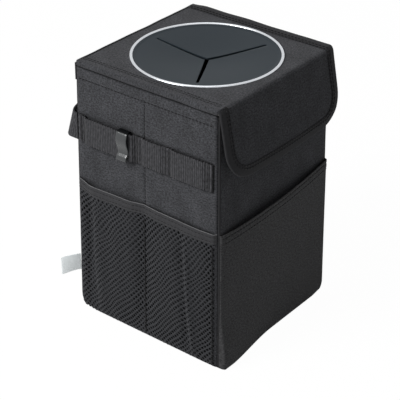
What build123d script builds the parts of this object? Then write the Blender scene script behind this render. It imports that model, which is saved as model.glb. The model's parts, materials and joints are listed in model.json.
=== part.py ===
from build123d import *
import math
import os

# Car trash bin: a square fabric box over stiff boards, leaning in a little towards its rim. A fabric lid
# swings back at the rear, a flap folds down from the front edge of the lid and closes with hook and loop
# tape, and a round mouth in the lid holds a soft membrane with three slits. The sides carry mesh pockets
# and webbing, the front a fabric pocket, and a webbing loop at the back hangs the bin up.
# Millimetres, +Z up. The flap faces -Y, the hinge is at +Y. The origin is the centre of the base.

# Box
base_width = 161.0
base_depth = 161.0
wall_height = 244.0
top_inset = 3.5
fabric = 1.0
board = 2.0
liner_film = 0.6
corner_radius = 4.5
foot_radius = 4.0
least_radius = 0.3
hem_depth = 11.0
piping_radius = 0.9

# Stiffener boards
board_side_gap = 2.0
board_end_gap = 1.0
crease_gap = 4.0
crease_groove = 0.9

# Lid
lid_rest_gap = 0.3
lid_lining_film = 0.6
lid_board_thickness = 2.6
side_overhang = 1.5
front_overhang = 2.7
hinge_clearance = 0.3
hinge_tape_film = 0.8
hinge_tape_drop = 15.0
binding_film = 0.5
binding_width = 9.0

# Mouth ring and membrane
ring_side_border = 12.5
ring_end_border = 10.0
ring_shift = 1.0
ring_width = 3.3
ring_height = 1.5
ring_edge_height = 0.7
ring_lip = 0.8
ring_collar = 1.2
ring_seat_height = 0.5
ring_fit_gap = 0.2
clamp_flange = 1.8
clamp_flange_reach = 1.5
membrane_thickness = 1.6
membrane_rim = 2.0
membrane_sag = 5.0
slit_count = 3
slit_end_land = 5.9
slit_inner_width = 4.0
slit_outer_width = 2.4
slit_start_angle = 90.0

# Flap
flap_length = 63.5
flap_rest_tilt = 10.6
flap_corner_radius = 26.0
flap_lining_film = 0.8
hook_tape_width = 100.0
hook_tape_height = 18.0
hook_tape_from_edge = 10.0
tape_thickness = 1.2
loop_tape_height = 24.0
loop_tape_drop = 30.0

# Pockets
pocket_floor_gap = 0.5
pocket_margin = 5.0
front_pocket_top = 137.0
front_pocket_gap = 5.0
front_pocket_ramp = 14.0
front_pocket_sheet = 1.2
front_pocket_hem = 10.0
front_pocket_hem_extra = 0.6
mesh_pocket_top = 135.5
mesh_pocket_gap = 3.2
mesh_pocket_ramp = 18.0
mesh_sheet = 0.8
mesh_centre_seam = 6.0
elastic_height = 9.5
elastic_thickness = 1.6

# Webbing, hanging strap and clip
webbing_width = 25.0
webbing_thickness = 1.4
webbing_drop = 56.6
webbing_end_gap = 0.3
webbing_stand_off = 2.2
webbing_tack = 8.0
webbing_centre_tack_y = 5.0
webbing_front_tack_y = -26.0
webbing_ramp = 3.0
strap_stand_off = 12.0
strap_lean = 4.0
strap_bend_radius = 8.0
strap_side_gap = 0.1
clip_width = 11.5
clip_y = 21.0
clip_thickness = 1.2
clip_back_gap = 0.5
clip_front_gap = 0.8
clip_end_gap = 0.7
clip_bow = 2.4
clip_grip_height = 5.5
clip_lip = 1.7

# Side tag
tag_centre = 48.5
tag_height = 16.0
tag_length = 18.0
tag_film = 0.4
tag_fold_gap = 0.6
tag_swing = 25.0
tag_seam_gap = 0.2

# Worked out from the sizes above
overcut = 5.0
wedge_reach = 20.0
lean = top_inset / wall_height
lean_angle = math.degrees(math.atan(lean))
liner_inset = fabric + board
hem_inset = liner_inset + liner_film
rim_inset = hem_inset + fabric
top_half_width = base_width / 2 - top_inset
top_half_depth = base_depth / 2 - top_inset
webbing_centre = wall_height - webbing_drop
webbing_low = webbing_centre - webbing_width / 2
loop_tape_top = wall_height - loop_tape_drop

lid_low = wall_height + lid_rest_gap + binding_film
lid_board_low = lid_low + lid_lining_film
lid_cover_low = lid_board_low + lid_board_thickness
lid_top = lid_cover_low + fabric
roll_radius = (lid_top - lid_low) / 2
roll_z = lid_low + roll_radius
lid_half_width = top_half_width + side_overhang - binding_film
flap_axis_y = -top_half_depth - front_overhang + roll_radius
hinge_axis_y = top_half_depth + hinge_tape_film - roll_radius
lid_rear_y = hinge_axis_y - roll_radius - hinge_clearance
lid_front_y = flap_axis_y - roll_radius

width_room = lid_half_width - ring_side_border
depth_room = (lid_rear_y - lid_front_y) / 2 - ring_shift - ring_end_border
ring_outer_radius = min(width_room, depth_room)
ring_centre_y = (lid_front_y + lid_rear_y) / 2 - ring_shift
ring_inner_radius = ring_outer_radius - ring_width
collar_inner_radius = ring_inner_radius + ring_lip
collar_outer_radius = collar_inner_radius + ring_collar
lid_hole_radius = collar_outer_radius + ring_fit_gap
membrane_radius = collar_inner_radius - ring_fit_gap / 2
membrane_top = lid_top + ring_seat_height
membrane_low = membrane_top - membrane_thickness
dish_radius = membrane_radius - membrane_rim
slit_length = dish_radius - slit_end_land


def half_width(z):
    return base_width / 2 - lean * z


def half_depth(z):
    return base_depth / 2 - lean * z


def slab(low, high):
    """Everything between two heights."""
    size = 2 * (base_width + base_depth)
    return Pos(0, 0, (low + high) / 2) * Box(size, size, high - low)


def box_core(inset):
    """The leaning box, drawn in by `inset` on its walls and floor, and running on past the rim."""
    top = wall_height + overcut
    floor = Rectangle(2 * (half_width(inset) - inset), 2 * (half_depth(inset) - inset))
    core = extrude(Pos(0, 0, inset) * floor, top - inset, taper=lean_angle)
    upright = core.edges().filter_by(lambda edge: abs((edge % 0.5).Z) > 0.9)
    core = fillet(upright, max(corner_radius - inset, 2 * least_radius))
    return fillet(core.edges().group_by(Axis.Z)[0], max(foot_radius - inset, least_radius))


def mitre_wedge(along, across):
    """The room in front of a wall that faces -Y, cut at 45 degrees at both corners of the box."""
    reach = wedge_reach
    half = along / 2
    face = across / 2
    outline = [
        (-half - reach, -face - reach),
        (half + reach, -face - reach),
        (half - reach, -face + reach),
        (-half + reach, -face + reach),
    ]
    return extrude(make_face(Polyline(outline, close=True)), wall_height + overcut)


def on_wall(shape, side):
    """Turn a shape made on the wall that faces -Y to another side of the box."""
    turns = {"front": 0, "right": 90, "back": 180, "left": -90}
    return Rot(0, 0, turns[side]) * shape


def corner_piping(sign_x, sign_y):
    """The thin cord sewn into one upright corner seam, centred on the rounded corner."""
    set_back = corner_radius * (1 - math.sqrt(0.5))

    def point(z):
        return Vector(sign_x * (half_width(z) - set_back), sign_y * (half_depth(z) - set_back), z)

    foot = point(foot_radius)
    run = point(wall_height - fabric) - foot
    rod = Cylinder(piping_radius, run.length, align=(Align.CENTER, Align.CENTER, Align.MIN))
    return Plane(origin=foot, z_dir=run) * rod


def crease():
    """A shallow groove down the middle of a side panel, where the box folds flat."""
    length = wall_height - hem_depth - foot_radius
    middle = foot_radius + length / 2
    groove = Rot(0, 0, 45) * Box(crease_groove, crease_groove, length)
    return Pos(0, -half_width(middle), middle) * Rot(-lean_angle, 0, 0) * groove


def fabric_shell(piping):
    """The outer fabric: four wall panels with hems folded over the rim, and the base panel."""
    outer = box_core(0)
    inside_hem = box_core(rim_inset)
    top_fold = (outer - inside_hem) & slab(wall_height - fabric, wall_height)
    hem = (box_core(hem_inset) - inside_hem) & slab(wall_height - hem_depth, wall_height)
    skin = (outer - box_core(fabric)) & slab(0, wall_height)
    floor = Box(base_width - 2 * foot_radius, base_depth - 2 * foot_radius, 2 * fabric)
    walls = skin + top_fold + hem - floor
    for cord in piping.values():
        walls = walls - cord
    panels = {"base_panel": skin & floor}
    for side in ("front", "back"):
        panels[side + "_panel"] = walls & on_wall(mitre_wedge(base_width, base_depth), side)
    for side in ("left", "right"):
        panel = walls & on_wall(mitre_wedge(base_depth, base_width), side)
        panels[side + "_panel"] = panel - on_wall(crease(), side)
    return panels


def wall_boards():
    """Stiffeners between the fabric and the liner. The side ones are halved at the fold."""
    layer = box_core(fabric) - box_core(liner_inset)
    low = foot_radius + board_end_gap
    high = wall_height - fabric - board_end_gap

    def stiffener(start, end, face, side):
        room = Box(end - start, 2 * wedge_reach, high - low)
        return layer & on_wall(Pos((start + end) / 2, -face, (low + high) / 2) * room, side)

    reach_x = top_half_width - corner_radius - board_side_gap
    reach_y = top_half_depth - corner_radius - board_side_gap
    boards = {}
    for side in ("front", "back"):
        boards[side + "_board"] = stiffener(-reach_x, reach_x, base_depth / 2, side)
    for side, front_first in (("left", -1), ("right", 1)):
        halves = ((-reach_y, -crease_gap / 2), (crease_gap / 2, reach_y))
        front_half, rear_half = halves[::front_first]
        boards[side + "_board_front"] = stiffener(*front_half, base_width / 2, side)
        boards[side + "_board_rear"] = stiffener(*rear_half, base_width / 2, side)
    return boards


def base_board():
    margin = 2 * (foot_radius + board_end_gap)
    plate = Box(base_width - margin, base_depth - margin, board)
    return Pos(0, 0, fabric + board / 2) * plate


def liner():
    """The leakproof bag inside the boards, caught under the hem."""
    return (box_core(liner_inset) - box_core(hem_inset)) & slab(0, wall_height - fabric)


def sewn_section(z, half_span, bays, gap, ramp, face, near, far):
    """A cut through a sewn sheet at height z: on the wall at its seams, standing off over each bay."""
    steps = [(-half_span, 0)]
    for start, end in bays:
        steps += [(start, 0), (start + ramp, gap), (end - ramp, gap), (end, 0)]
    steps.append((half_span, 0))
    inner = [(x, -face - near - rise) for x, rise in steps]
    outer = [(x, -face - far - rise) for x, rise in reversed(steps)]
    return Pos(0, 0, z) * make_face(Polyline(inner + outer, close=True))


def pocket_sheet(heights, mouth, seam, half_along, half_across, levels):
    """A pocket wall between two heights. It lies close at its floor seam and opens towards its mouth."""
    mouth_top, mouth_gap, ramp = mouth
    sections = []
    for z in heights:
        rise = (z - foot_radius) / (mouth_top - foot_radius)
        gap = pocket_floor_gap + (mouth_gap - pocket_floor_gap) * rise
        half_span = half_along(z) - corner_radius
        edge = half_span - pocket_margin
        bays = [(-edge, -seam / 2), (seam / 2, edge)] if seam else [(-edge, edge)]
        sections.append(sewn_section(z, half_span, bays, gap, ramp, half_across(z), *levels))
    return loft(sections, ruled=True)


def front_pocket():
    """Flat fabric pocket, one bay wide, with a turned hem along its mouth."""
    mouth = (front_pocket_top, front_pocket_gap, front_pocket_ramp)
    shape = (mouth, 0, half_width, half_depth)
    sheet = pocket_sheet((foot_radius, front_pocket_top), *shape, (0, front_pocket_sheet))
    hem_heights = (front_pocket_top - front_pocket_hem, front_pocket_top)
    hem_levels = (front_pocket_sheet / 2, front_pocket_sheet + front_pocket_hem_extra)
    return sheet + pocket_sheet(hem_heights, *shape, hem_levels)


def mesh_pocket(side):
    """Mesh pocket sewn down its middle into two bays, and the elastic edge along its mouth."""
    mouth = (mesh_pocket_top, mesh_pocket_gap, mesh_pocket_ramp)
    shape = (mouth, mesh_centre_seam, half_depth, half_width)
    elastic_low = mesh_pocket_top - elastic_height
    mesh = pocket_sheet((foot_radius, elastic_low), *shape, (0, mesh_sheet))
    elastic = pocket_sheet((elastic_low, mesh_pocket_top), *shape, (0, elastic_thickness))
    return on_wall(mesh, side), on_wall(elastic, side)


def webbing_end():
    """Where a side webbing strip stops, short of the rounded corner, measured along its wall."""
    return half_depth(webbing_low) - corner_radius - webbing_end_gap


def webbing_tacks():
    """Where a side strip is sewn down, front to rear, as pairs of Y along the wall."""
    end = webbing_end()
    half = webbing_tack / 2
    middles = [(y - half, y + half) for y in (webbing_front_tack_y, webbing_centre_tack_y)]
    return [(-end, -end + webbing_tack), *middles, (end - webbing_tack, end)]


def side_webbing(side):
    """Webbing sewn down at its tacks and standing off the wall in loops between them."""
    inner = []
    for start, end in webbing_tacks():
        if inner:
            inner.append((start - webbing_ramp, webbing_stand_off))
        inner += [(start, 0), (end, 0), (end + webbing_ramp, webbing_stand_off)]
    inner.pop()
    outer = [(y, out + webbing_thickness) for y, out in reversed(inner)]
    face = half_width(webbing_low)
    away = -1 if side == "left" else 1
    outline = Polyline([(away * (face + out), y) for y, out in inner + outer], close=True)
    slope = Vector(-away * lean, 0, 1)
    section = Pos(0, 0, webbing_low) * make_face(outline)
    return extrude(section, webbing_width * slope.length, dir=slope)


def band(path, thickness, height):
    """A flat strip standing on edge along a path in plan."""
    outline = path.offset_2d(thickness / 2, side=Side.BOTH)
    return extrude(make_face(outline), height)


def strap_section(z, stand_off):
    """A cut through the hanging strap at height z, from one side strip round the back to the other."""
    side_x = half_width(z) + strap_side_gap + webbing_thickness / 2
    start_y = webbing_end() + strap_side_gap + webbing_thickness / 2
    back_y = half_depth(z) + stand_off + webbing_thickness / 2
    corners = [(-side_x, start_y), (-side_x, back_y), (side_x, back_y), (side_x, start_y)]
    path = Wire(FilletPolyline(corners, radius=strap_bend_radius).edges())
    return Pos(0, 0, z) * make_face(path.offset_2d(webbing_thickness / 2, side=Side.BOTH))


def hanging_strap():
    """The slack webbing loop behind the back panel. It hangs out further along its lower edge."""
    lower = strap_section(webbing_low, strap_stand_off)
    upper = strap_section(webbing_low + webbing_width, strap_stand_off - strap_lean)
    return loft([lower, upper], ruled=True)


def strap_clip():
    """One-piece moulded clip round the left webbing: back plate, bent top, bowed front, flared lip."""
    half_height = webbing_width / 2 + clip_end_gap
    grip = clip_grip_height - half_height
    back = clip_back_gap + clip_thickness / 2
    front = webbing_stand_off + webbing_thickness + clip_front_gap + clip_thickness / 2
    bend = (front - back) / 2
    path = Wire(
        [
            Line((back, -half_height + clip_lip), (back, half_height)),
            ThreePointArc((back, half_height), (back + bend, half_height + bend), (front, half_height)),
            ThreePointArc((front, half_height), (front + clip_bow, (half_height + grip) / 2), (front, grip)),
            Line((front, grip), (front + clip_lip, -half_height)),
        ]
    )
    side_view = make_face(path.offset_2d(clip_thickness / 2, side=Side.BOTH))
    upright = Plane(origin=(0, 0, 0), x_dir=(-1, 0, 0), z_dir=(0, 1, 0))
    clip = extrude(upright * side_view, clip_width / 2, both=True)
    return Pos(-half_width(webbing_centre), clip_y, webbing_centre) * Rot(0, lean_angle, 0) * clip


def side_tag():
    """A folded ribbon label standing out of the rear left corner seam."""
    set_back = corner_radius * (1 - math.sqrt(0.5))
    half_gap = (tag_fold_gap + tag_film) / 2
    root = piping_radius + tag_seam_gap + tag_film / 2
    straight = root + tag_length - half_gap - tag_film / 2
    path = Wire(
        [
            Line((root, -half_gap), (straight, -half_gap)),
            ThreePointArc((straight, -half_gap), (straight + half_gap, 0), (straight, half_gap)),
            Line((straight, half_gap), (root, half_gap)),
        ]
    )
    x = -half_width(tag_centre) + set_back
    y = half_depth(tag_centre) - set_back
    place = Pos(x, y, tag_centre - tag_height / 2) * Rot(0, 0, 180 - tag_swing)
    return place * band(path, tag_film, tag_height)


def loop_tape():
    """Soft half of the closure, on the front panel under the flap."""
    middle = loop_tape_top - loop_tape_height / 2
    tape = Pos(0, -tape_thickness / 2, 0) * Box(hook_tape_width, tape_thickness, loop_tape_height)
    return Pos(0, -half_depth(middle), middle) * Rot(-lean_angle, 0, 0) * tape


def hinge_tape():
    """Fabric strip sewn to the back panel, rolled over the hinge line of the lid."""
    low = wall_height - hinge_tape_drop
    outline = Polyline(
        [
            (half_depth(low), low),
            (half_depth(low) + hinge_tape_film, low),
            (top_half_depth + hinge_tape_film, roll_z),
            (top_half_depth, roll_z),
            (top_half_depth, wall_height),
        ],
        close=True,
    )
    roll = Pos(hinge_axis_y, roll_z) * Circle(roll_radius)
    section = make_face(outline) + roll
    half_length = top_half_width - corner_radius
    return extrude(Plane.YZ * section, half_length, both=True)


def ring_at(shape):
    return Pos(0, ring_centre_y, 0) * shape


def lid_plate(half_span, front_y, rear_y, low, high):
    """A flat layer of the lid with the round mouth through it."""
    depth = rear_y - front_y
    plate = Box(2 * half_span, depth, high - low)
    plate = Pos(0, (front_y + rear_y) / 2, (low + high) / 2) * plate
    return plate - ring_at(Pos(0, 0, (low + high) / 2) * Cylinder(lid_hole_radius, 2 * (high - low)))


def lid_cover():
    """Top fabric of the lid, rolled down round the front edge where the flap folds."""
    top = lid_plate(lid_half_width, flap_axis_y, lid_rear_y, lid_cover_low, lid_top)
    rod = Rot(0, 90, 0) * (Cylinder(roll_radius, 2 * lid_half_width))
    core = Rot(0, 90, 0) * (Cylinder(roll_radius - fabric, 2 * lid_half_width))
    front_half = Pos(0, -roll_radius, 0) * Box(4 * lid_half_width, 2 * roll_radius, 4 * roll_radius)
    return top + Pos(0, flap_axis_y, roll_z) * ((rod - core) & front_half)


def lid_binding(sign_x):
    """Folded edge tape along one side of the lid."""
    length = lid_rear_y - flap_axis_y
    outer_x = lid_half_width + binding_film
    width = binding_width + binding_film
    height = lid_top - lid_low + 2 * binding_film
    sleeve = Box(width, length, height)
    room = Pos(-binding_film, 0, 0) * Box(width, length, lid_top - lid_low)
    tape = Pos(outer_x - width / 2, (flap_axis_y + lid_rear_y) / 2, roll_z) * (sleeve - room)
    return tape if sign_x > 0 else mirror(tape, about=Plane.YZ)


def trim_ring():
    """Silver ring: crowned flange on the cover, lip over the membrane, collar down through the lid."""
    edge = lid_top + ring_edge_height
    crest = ((ring_inner_radius + ring_outer_radius) / 2, lid_top + ring_height)
    below = Polyline(
        [
            (ring_inner_radius, edge),
            (ring_inner_radius, membrane_top),
            (collar_inner_radius, membrane_top),
            (collar_inner_radius, lid_low),
            (collar_outer_radius, lid_low),
            (collar_outer_radius, lid_top),
            (ring_outer_radius, lid_top),
            (ring_outer_radius, edge),
        ]
    )
    crown = ThreePointArc((ring_outer_radius, edge), crest, (ring_inner_radius, edge))
    return ring_at(revolve(Plane.XZ * make_face([*below.edges(), crown]), Axis.Z))


def clamp_ring():
    """Black ring under the lid: flange below the lining, upstand that carries the membrane's rim."""
    outline = Polyline(
        [
            (dish_radius, lid_low - clamp_flange),
            (lid_hole_radius + clamp_flange_reach, lid_low - clamp_flange),
            (lid_hole_radius + clamp_flange_reach, lid_low),
            (membrane_radius, lid_low),
            (membrane_radius, membrane_low),
            (dish_radius, membrane_low),
        ],
        close=True,
    )
    return ring_at(revolve(Plane.XZ * make_face(outline), Axis.Z))


def slit():
    """One tapered slit from the middle of the membrane, with a round end."""
    half_in = slit_inner_width / 2
    half_out = slit_outer_width / 2
    straight = slit_length - half_out
    outline = Polyline([(0, -half_in), (straight, -half_out), (straight, half_out), (0, half_in)], close=True)
    return make_face(outline) + Pos(straight, 0) * Circle(half_out)


def membrane():
    """Soft moulded disc whose tongues sag towards the middle, joined round the rim past the slits."""
    outline = Polyline(
        [
            (0, membrane_top - membrane_sag),
            (dish_radius, membrane_top),
            (membrane_radius, membrane_top),
            (membrane_radius, membrane_low),
            (dish_radius, membrane_low),
            (0, membrane_low - membrane_sag),
        ],
        close=True,
    )
    disc = revolve(Plane.XZ * make_face(outline), Axis.Z)
    cutter_low = membrane_low - 2 * membrane_sag
    for index in range(slit_count):
        turn = slit_start_angle + index * 360 / slit_count
        cutter = extrude(slit(), 2 * membrane_top - 2 * cutter_low)
        disc = disc - Pos(0, 0, cutter_low) * Rot(0, 0, turn) * cutter
    return ring_at(disc)


def flap_outline(grow):
    """The flap seen from the front, hanging from its fold, with `grow` added round its free edges."""
    top = -roll_radius - binding_film - hinge_clearance
    bottom = -flap_length - grow
    half = lid_half_width + grow
    radius = flap_corner_radius + grow
    block = Pos(0, (top + bottom) / 2) * Rectangle(2 * half, top - bottom)
    return fillet(block.vertices().group_by(Axis.Y)[0], radius)


def flap_layer(outline, near, far):
    """Extrude a flap outline between two depths, measured forward from the fold line."""
    return Pos(0, -near, 0) * extrude(Plane.XZ * outline, far - near)


def hung(shape):
    """Hang a flap piece from the fold at the angle it rests at."""
    return Pos(0, flap_axis_y, roll_z) * Rot(-flap_rest_tilt, 0, 0) * shape


def flap_pieces():
    """Flap cover, lining, folded edge tape and hook tape."""
    face = roll_radius
    cover_back = face - fabric
    lining_back = cover_back - flap_lining_film
    body = flap_outline(0)
    open_middle = flap_layer(flap_outline(-binding_width), lining_back - overcut, face + overcut)
    sleeve = flap_layer(flap_outline(binding_film), lining_back - binding_film, face + binding_film)
    hook_middle = -flap_length + hook_tape_from_edge + hook_tape_height / 2
    hook = Pos(0, hook_middle) * Rectangle(hook_tape_width, hook_tape_height)
    return {
        "flap_cover": hung(flap_layer(body, cover_back, face)),
        "flap_lining": hung(flap_layer(body, lining_back, cover_back)),
        "flap_binding": hung(sleeve - flap_layer(body, lining_back, face) - open_middle),
        "hook_tape": hung(flap_layer(hook, lining_back - tape_thickness, lining_back)),
    }


def build_bin():
    """Every piece of the bin, by name."""
    piping = {
        "front_left_piping": corner_piping(-1, -1),
        "front_right_piping": corner_piping(1, -1),
        "rear_left_piping": corner_piping(-1, 1),
        "rear_right_piping": corner_piping(1, 1),
    }
    pieces = dict(piping)
    pieces.update(fabric_shell(piping))
    pieces.update(wall_boards())
    pieces["base_board"] = base_board()
    pieces["liner"] = liner()
    pieces["front_pocket"] = front_pocket()
    for side in ("left", "right"):
        mesh, elastic = mesh_pocket(side)
        pieces[side + "_mesh_pocket"] = mesh
        pieces[side + "_pocket_elastic"] = elastic
        pieces[side + "_webbing"] = side_webbing(side)
    pieces["hanging_strap"] = hanging_strap()
    pieces["strap_clip"] = strap_clip()
    pieces["side_tag"] = side_tag()
    pieces["loop_tape"] = loop_tape()
    pieces["hinge_tape"] = hinge_tape()
    pieces["lid_lining"] = lid_plate(lid_half_width, flap_axis_y, lid_rear_y, lid_low, lid_board_low)
    pieces["lid_board"] = lid_plate(lid_half_width, flap_axis_y, lid_rear_y, lid_board_low, lid_cover_low)
    pieces["lid_cover"] = lid_cover()
    pieces["lid_binding_left"] = lid_binding(-1)
    pieces["lid_binding_right"] = lid_binding(1)
    pieces["trim_ring"] = trim_ring()
    pieces["clamp_ring"] = clamp_ring()
    pieces["membrane"] = membrane()
    pieces.update(flap_pieces())
    return pieces


os.makedirs("parts", exist_ok=True)
for name, piece in build_bin().items():
    export_step(piece, os.path.join("parts", name + ".step"))
print("lid hinge axis", round(hinge_axis_y, 3), round(roll_z, 3))
print("flap fold axis", round(flap_axis_y, 3), round(roll_z, 3))
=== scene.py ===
import json
import math

import bmesh
import bpy
from mathutils import Matrix, Vector, noise


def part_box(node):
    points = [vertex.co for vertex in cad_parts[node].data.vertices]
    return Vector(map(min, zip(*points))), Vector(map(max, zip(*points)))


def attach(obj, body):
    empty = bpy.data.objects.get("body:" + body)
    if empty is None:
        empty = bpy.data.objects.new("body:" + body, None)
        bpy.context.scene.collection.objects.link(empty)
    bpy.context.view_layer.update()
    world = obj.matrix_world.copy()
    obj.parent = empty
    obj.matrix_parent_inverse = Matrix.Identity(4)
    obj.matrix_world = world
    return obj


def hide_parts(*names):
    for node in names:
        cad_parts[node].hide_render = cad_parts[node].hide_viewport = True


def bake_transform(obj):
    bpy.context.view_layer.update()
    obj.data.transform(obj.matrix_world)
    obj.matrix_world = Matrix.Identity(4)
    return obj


# Car trash bin: the sewn fabric, nets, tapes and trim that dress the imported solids.
# Metres, +Z up. The flap faces -Y, the lid hinge is at +Y, and the webbing side with the clip is -X.

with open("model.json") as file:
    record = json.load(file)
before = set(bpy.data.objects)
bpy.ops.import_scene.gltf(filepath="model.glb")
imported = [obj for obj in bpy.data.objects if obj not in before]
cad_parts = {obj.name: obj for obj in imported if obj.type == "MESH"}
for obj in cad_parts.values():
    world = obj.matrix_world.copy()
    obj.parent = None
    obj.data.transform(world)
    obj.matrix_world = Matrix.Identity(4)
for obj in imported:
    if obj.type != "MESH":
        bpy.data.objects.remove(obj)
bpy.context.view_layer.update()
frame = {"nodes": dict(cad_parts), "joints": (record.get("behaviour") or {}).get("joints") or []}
bpy.ops.object.select_all(action="DESELECT")

MM = 0.001
UP = Vector((0, 0, 1))
JOINTS = {joint["name"]: joint for joint in frame["joints"]}
FOLD = Vector(JOINTS["flap_fold"]["pos_m"])

# The leaning box, read from the frame
RIM_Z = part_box("front_panel")[1].z
FOOT_TURN = 4.0 * MM
BASE_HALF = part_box("base_panel")[1].x + FOOT_TURN
TOP_INSET = 3.5 * MM
LEAN = TOP_INSET / RIM_Z

# The lid and flap layers, read from the frame
LID_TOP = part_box("lid_board")[1].z + 1.0 * MM
LID_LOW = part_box("lid_lining")[0].z
LID_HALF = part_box("lid_cover")[1].x
LID_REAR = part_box("lid_cover")[1].y
ROLL = LID_TOP - FOLD.z
FLAP_TILT = math.radians(10.6)
FLAP_DOWN = Vector((0, -math.sin(FLAP_TILT), -math.cos(FLAP_TILT)))
FLAP_OUT = Vector((0, -math.cos(FLAP_TILT), math.sin(FLAP_TILT)))
FLAP_LENGTH = 61.0 * MM
FLAP_CORNER = 26.0 * MM
COVER_CLOTH = 1.0 * MM
LINING_CLOTH = 0.7 * MM
BINDING_WIDTH = 9.5 * MM

# The mouth in the lid
RING_LOW, RING_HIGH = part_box("trim_ring")
MOUTH = Vector((0, (RING_LOW.y + RING_HIGH.y) / 2, LID_TOP))
RING_OUTER = RING_HIGH.x
RING_WIDTH = 2.8 * MM
MOUTH_CUT = RING_OUTER - 1.2 * MM
MEMBRANE_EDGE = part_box("membrane")[1].x
MEMBRANE_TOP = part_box("membrane")[1].z

# The side webbing and the mouth of the mesh pockets, read from the frame
WEBBING_LOW, WEBBING_HIGH = (corner.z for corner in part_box("left_webbing"))
WEBBING_MIDDLE = (WEBBING_LOW + WEBBING_HIGH) / 2
WEBBING_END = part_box("left_webbing")[1].y
ELASTIC_LOW, ELASTIC_HIGH = (corner.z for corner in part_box("left_pocket_elastic"))

# Turns from the front wall, where wall pieces are made, to each side of the box
WALL_TURNS = {"front": 0, "right": 90, "back": 180, "left": -90}


def half_at(height):
    """Half the width of the leaning box at a height."""
    return BASE_HALF - LEAN * height


def smooth_step(low, high, value):
    share = min(max((value - low) / (high - low), 0.0), 1.0)
    return share * share * (3 - 2 * share)


def bump(middle, reach, value):
    """A soft hump, 1 in the middle and near 0 past its reach."""
    return math.exp(-(((value - middle) / reach) ** 2))


def ripple(place, size, seed=0.0):
    """Smooth unevenness of cloth, between about -1 and 1, at one size of wave."""
    return noise.noise(Vector(place) / size + Vector((seed, 2 * seed, -seed)))


def polar(angle):
    """Cosine and sine of an angle in degrees."""
    return math.cos(math.radians(angle)), math.sin(math.radians(angle))


def around(angle):
    """A level direction at an angle in degrees from +X."""
    return Vector((*polar(angle), 0))


def spread_evenly(low, high, steps):
    return [low + (high - low) * step / steps for step in range(steps + 1)]


# Ways of working, in edit mode and with modifiers


def deselect():
    bpy.ops.object.select_all(action="DESELECT")


def take(piece):
    """Make one piece the only one that is selected and active."""
    deselect()
    piece.select_set(True)
    bpy.context.view_layer.objects.active = piece


def added(name):
    """Name the piece that was just added or joined."""
    piece = bpy.context.object
    piece.name = name
    piece.data.name = name
    return piece


def edit(piece):
    """Open a piece in edit mode, with all of it selected."""
    take(piece)
    bpy.ops.object.mode_set(mode="EDIT")
    bpy.ops.mesh.select_all(action="SELECT")


def leave_edit():
    bpy.ops.object.mode_set(mode="OBJECT")


def pick(kind, test):
    """In edit mode, select the vertices, edges or faces that pass a test."""
    bpy.ops.mesh.select_mode(type=kind)
    bpy.ops.mesh.select_all(action="DESELECT")
    mesh = bpy.context.object.data
    cage = bmesh.from_edit_mesh(mesh)
    items = {"VERT": cage.verts, "EDGE": cage.edges, "FACE": cage.faces}[kind]
    for item in items:
        if test(item):
            item.select_set(True)
    cage.select_flush_mode()
    bmesh.update_edit_mesh(mesh)


def middle_of(edge):
    return (edge.verts[0].co + edge.verts[1].co) / 2


def edge_rise(edge):
    return abs(edge.verts[0].co.z - edge.verts[1].co.z)


def finish_with(piece, kind, **settings):
    """Add a modifier with its settings and apply it."""
    take(piece)
    modifier = piece.modifiers.new(kind.lower(), kind)
    for key, value in settings.items():
        setattr(modifier, key, value)
    bpy.ops.object.modifier_apply(modifier=modifier.name)


def thicken(piece, thickness, offset=-1.0):
    finish_with(piece, "SOLIDIFY", thickness=thickness, offset=offset)


def soften(piece, angle, width=0.3 * MM, segments=2):
    """Round the edges that are sharper than an angle in degrees."""
    settings = {"width": width, "segments": segments, "limit_method": "ANGLE"}
    finish_with(piece, "BEVEL", angle_limit=math.radians(angle), **settings)


def outward(piece):
    """Merge doubles and turn every face outwards."""
    edit(piece)
    bpy.ops.mesh.remove_doubles(threshold=0.01 * MM)
    bpy.ops.mesh.normals_make_consistent(inside=False)
    leave_edit()
    return piece


def look(piece, way):
    """Turn an open piece over if its faces look away from where they should."""
    facing = sum((face.normal for face in piece.data.polygons), Vector())
    if facing.dot(way) < 0:
        edit(piece)
        bpy.ops.mesh.flip_normals()
        leave_edit()


def joined(pieces, name):
    """Several meshes made into one piece."""
    take(pieces[0])
    for piece in pieces:
        piece.select_set(True)
    bpy.ops.object.join()
    return added(name)


def turned_to(side, point):
    """A point made on the front wall, turned to another side of the box."""
    return Matrix.Rotation(math.radians(WALL_TURNS[side]), 3, "Z") @ point


def path_length(points):
    return sum((b - a).length for a, b in zip(points, points[1:]))


def wall_way(side):
    """The direction that one wall faces."""
    return turned_to(side, Vector((0, -1, 0)))


def put_on(piece, body, slot, material, *nodes, shade=50):
    """Finish a piece: its shading and material, the body it rides on and the solids it stands for. Its slot
    is not used.
    """
    take(piece)
    bpy.ops.object.shade_smooth_by_angle(angle=math.radians(shade))
    piece.data.materials.clear()
    piece.data.materials.append(material)
    if body:
        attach(piece, body)
    if nodes:
        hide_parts(*nodes)
    return piece


# Finishes

# The part of a noise's values that is used
NOISE_RANGE = (0.3, 0.7)


def surface(name, colour, roughness, **sockets):
    """A new material with one plain shader, its constant values set on the shader itself."""
    material = bpy.data.materials.new(name)
    material.use_nodes = True
    shader = material.node_tree.nodes["Principled BSDF"]
    shader.inputs["Base Color"].default_value = (*colour, 1)
    shader.inputs["Roughness"].default_value = roughness
    for socket, value in sockets.items():
        shader.inputs[socket.replace("_", " ")].default_value = value
    return material


def node(owner, kind, links=None, **values):
    """Add a node to a material or the world. Values set its inputs or properties, links feed its inputs."""
    made = owner.node_tree.nodes.new("ShaderNode" + kind)
    for key, value in values.items():
        if hasattr(made, key):
            setattr(made, key, value)
        else:
            made.inputs[key.replace("_", " ")].default_value = value
    for key, source in (links or {}).items():
        owner.node_tree.links.new(source, made.inputs[key])
    return made


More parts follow.
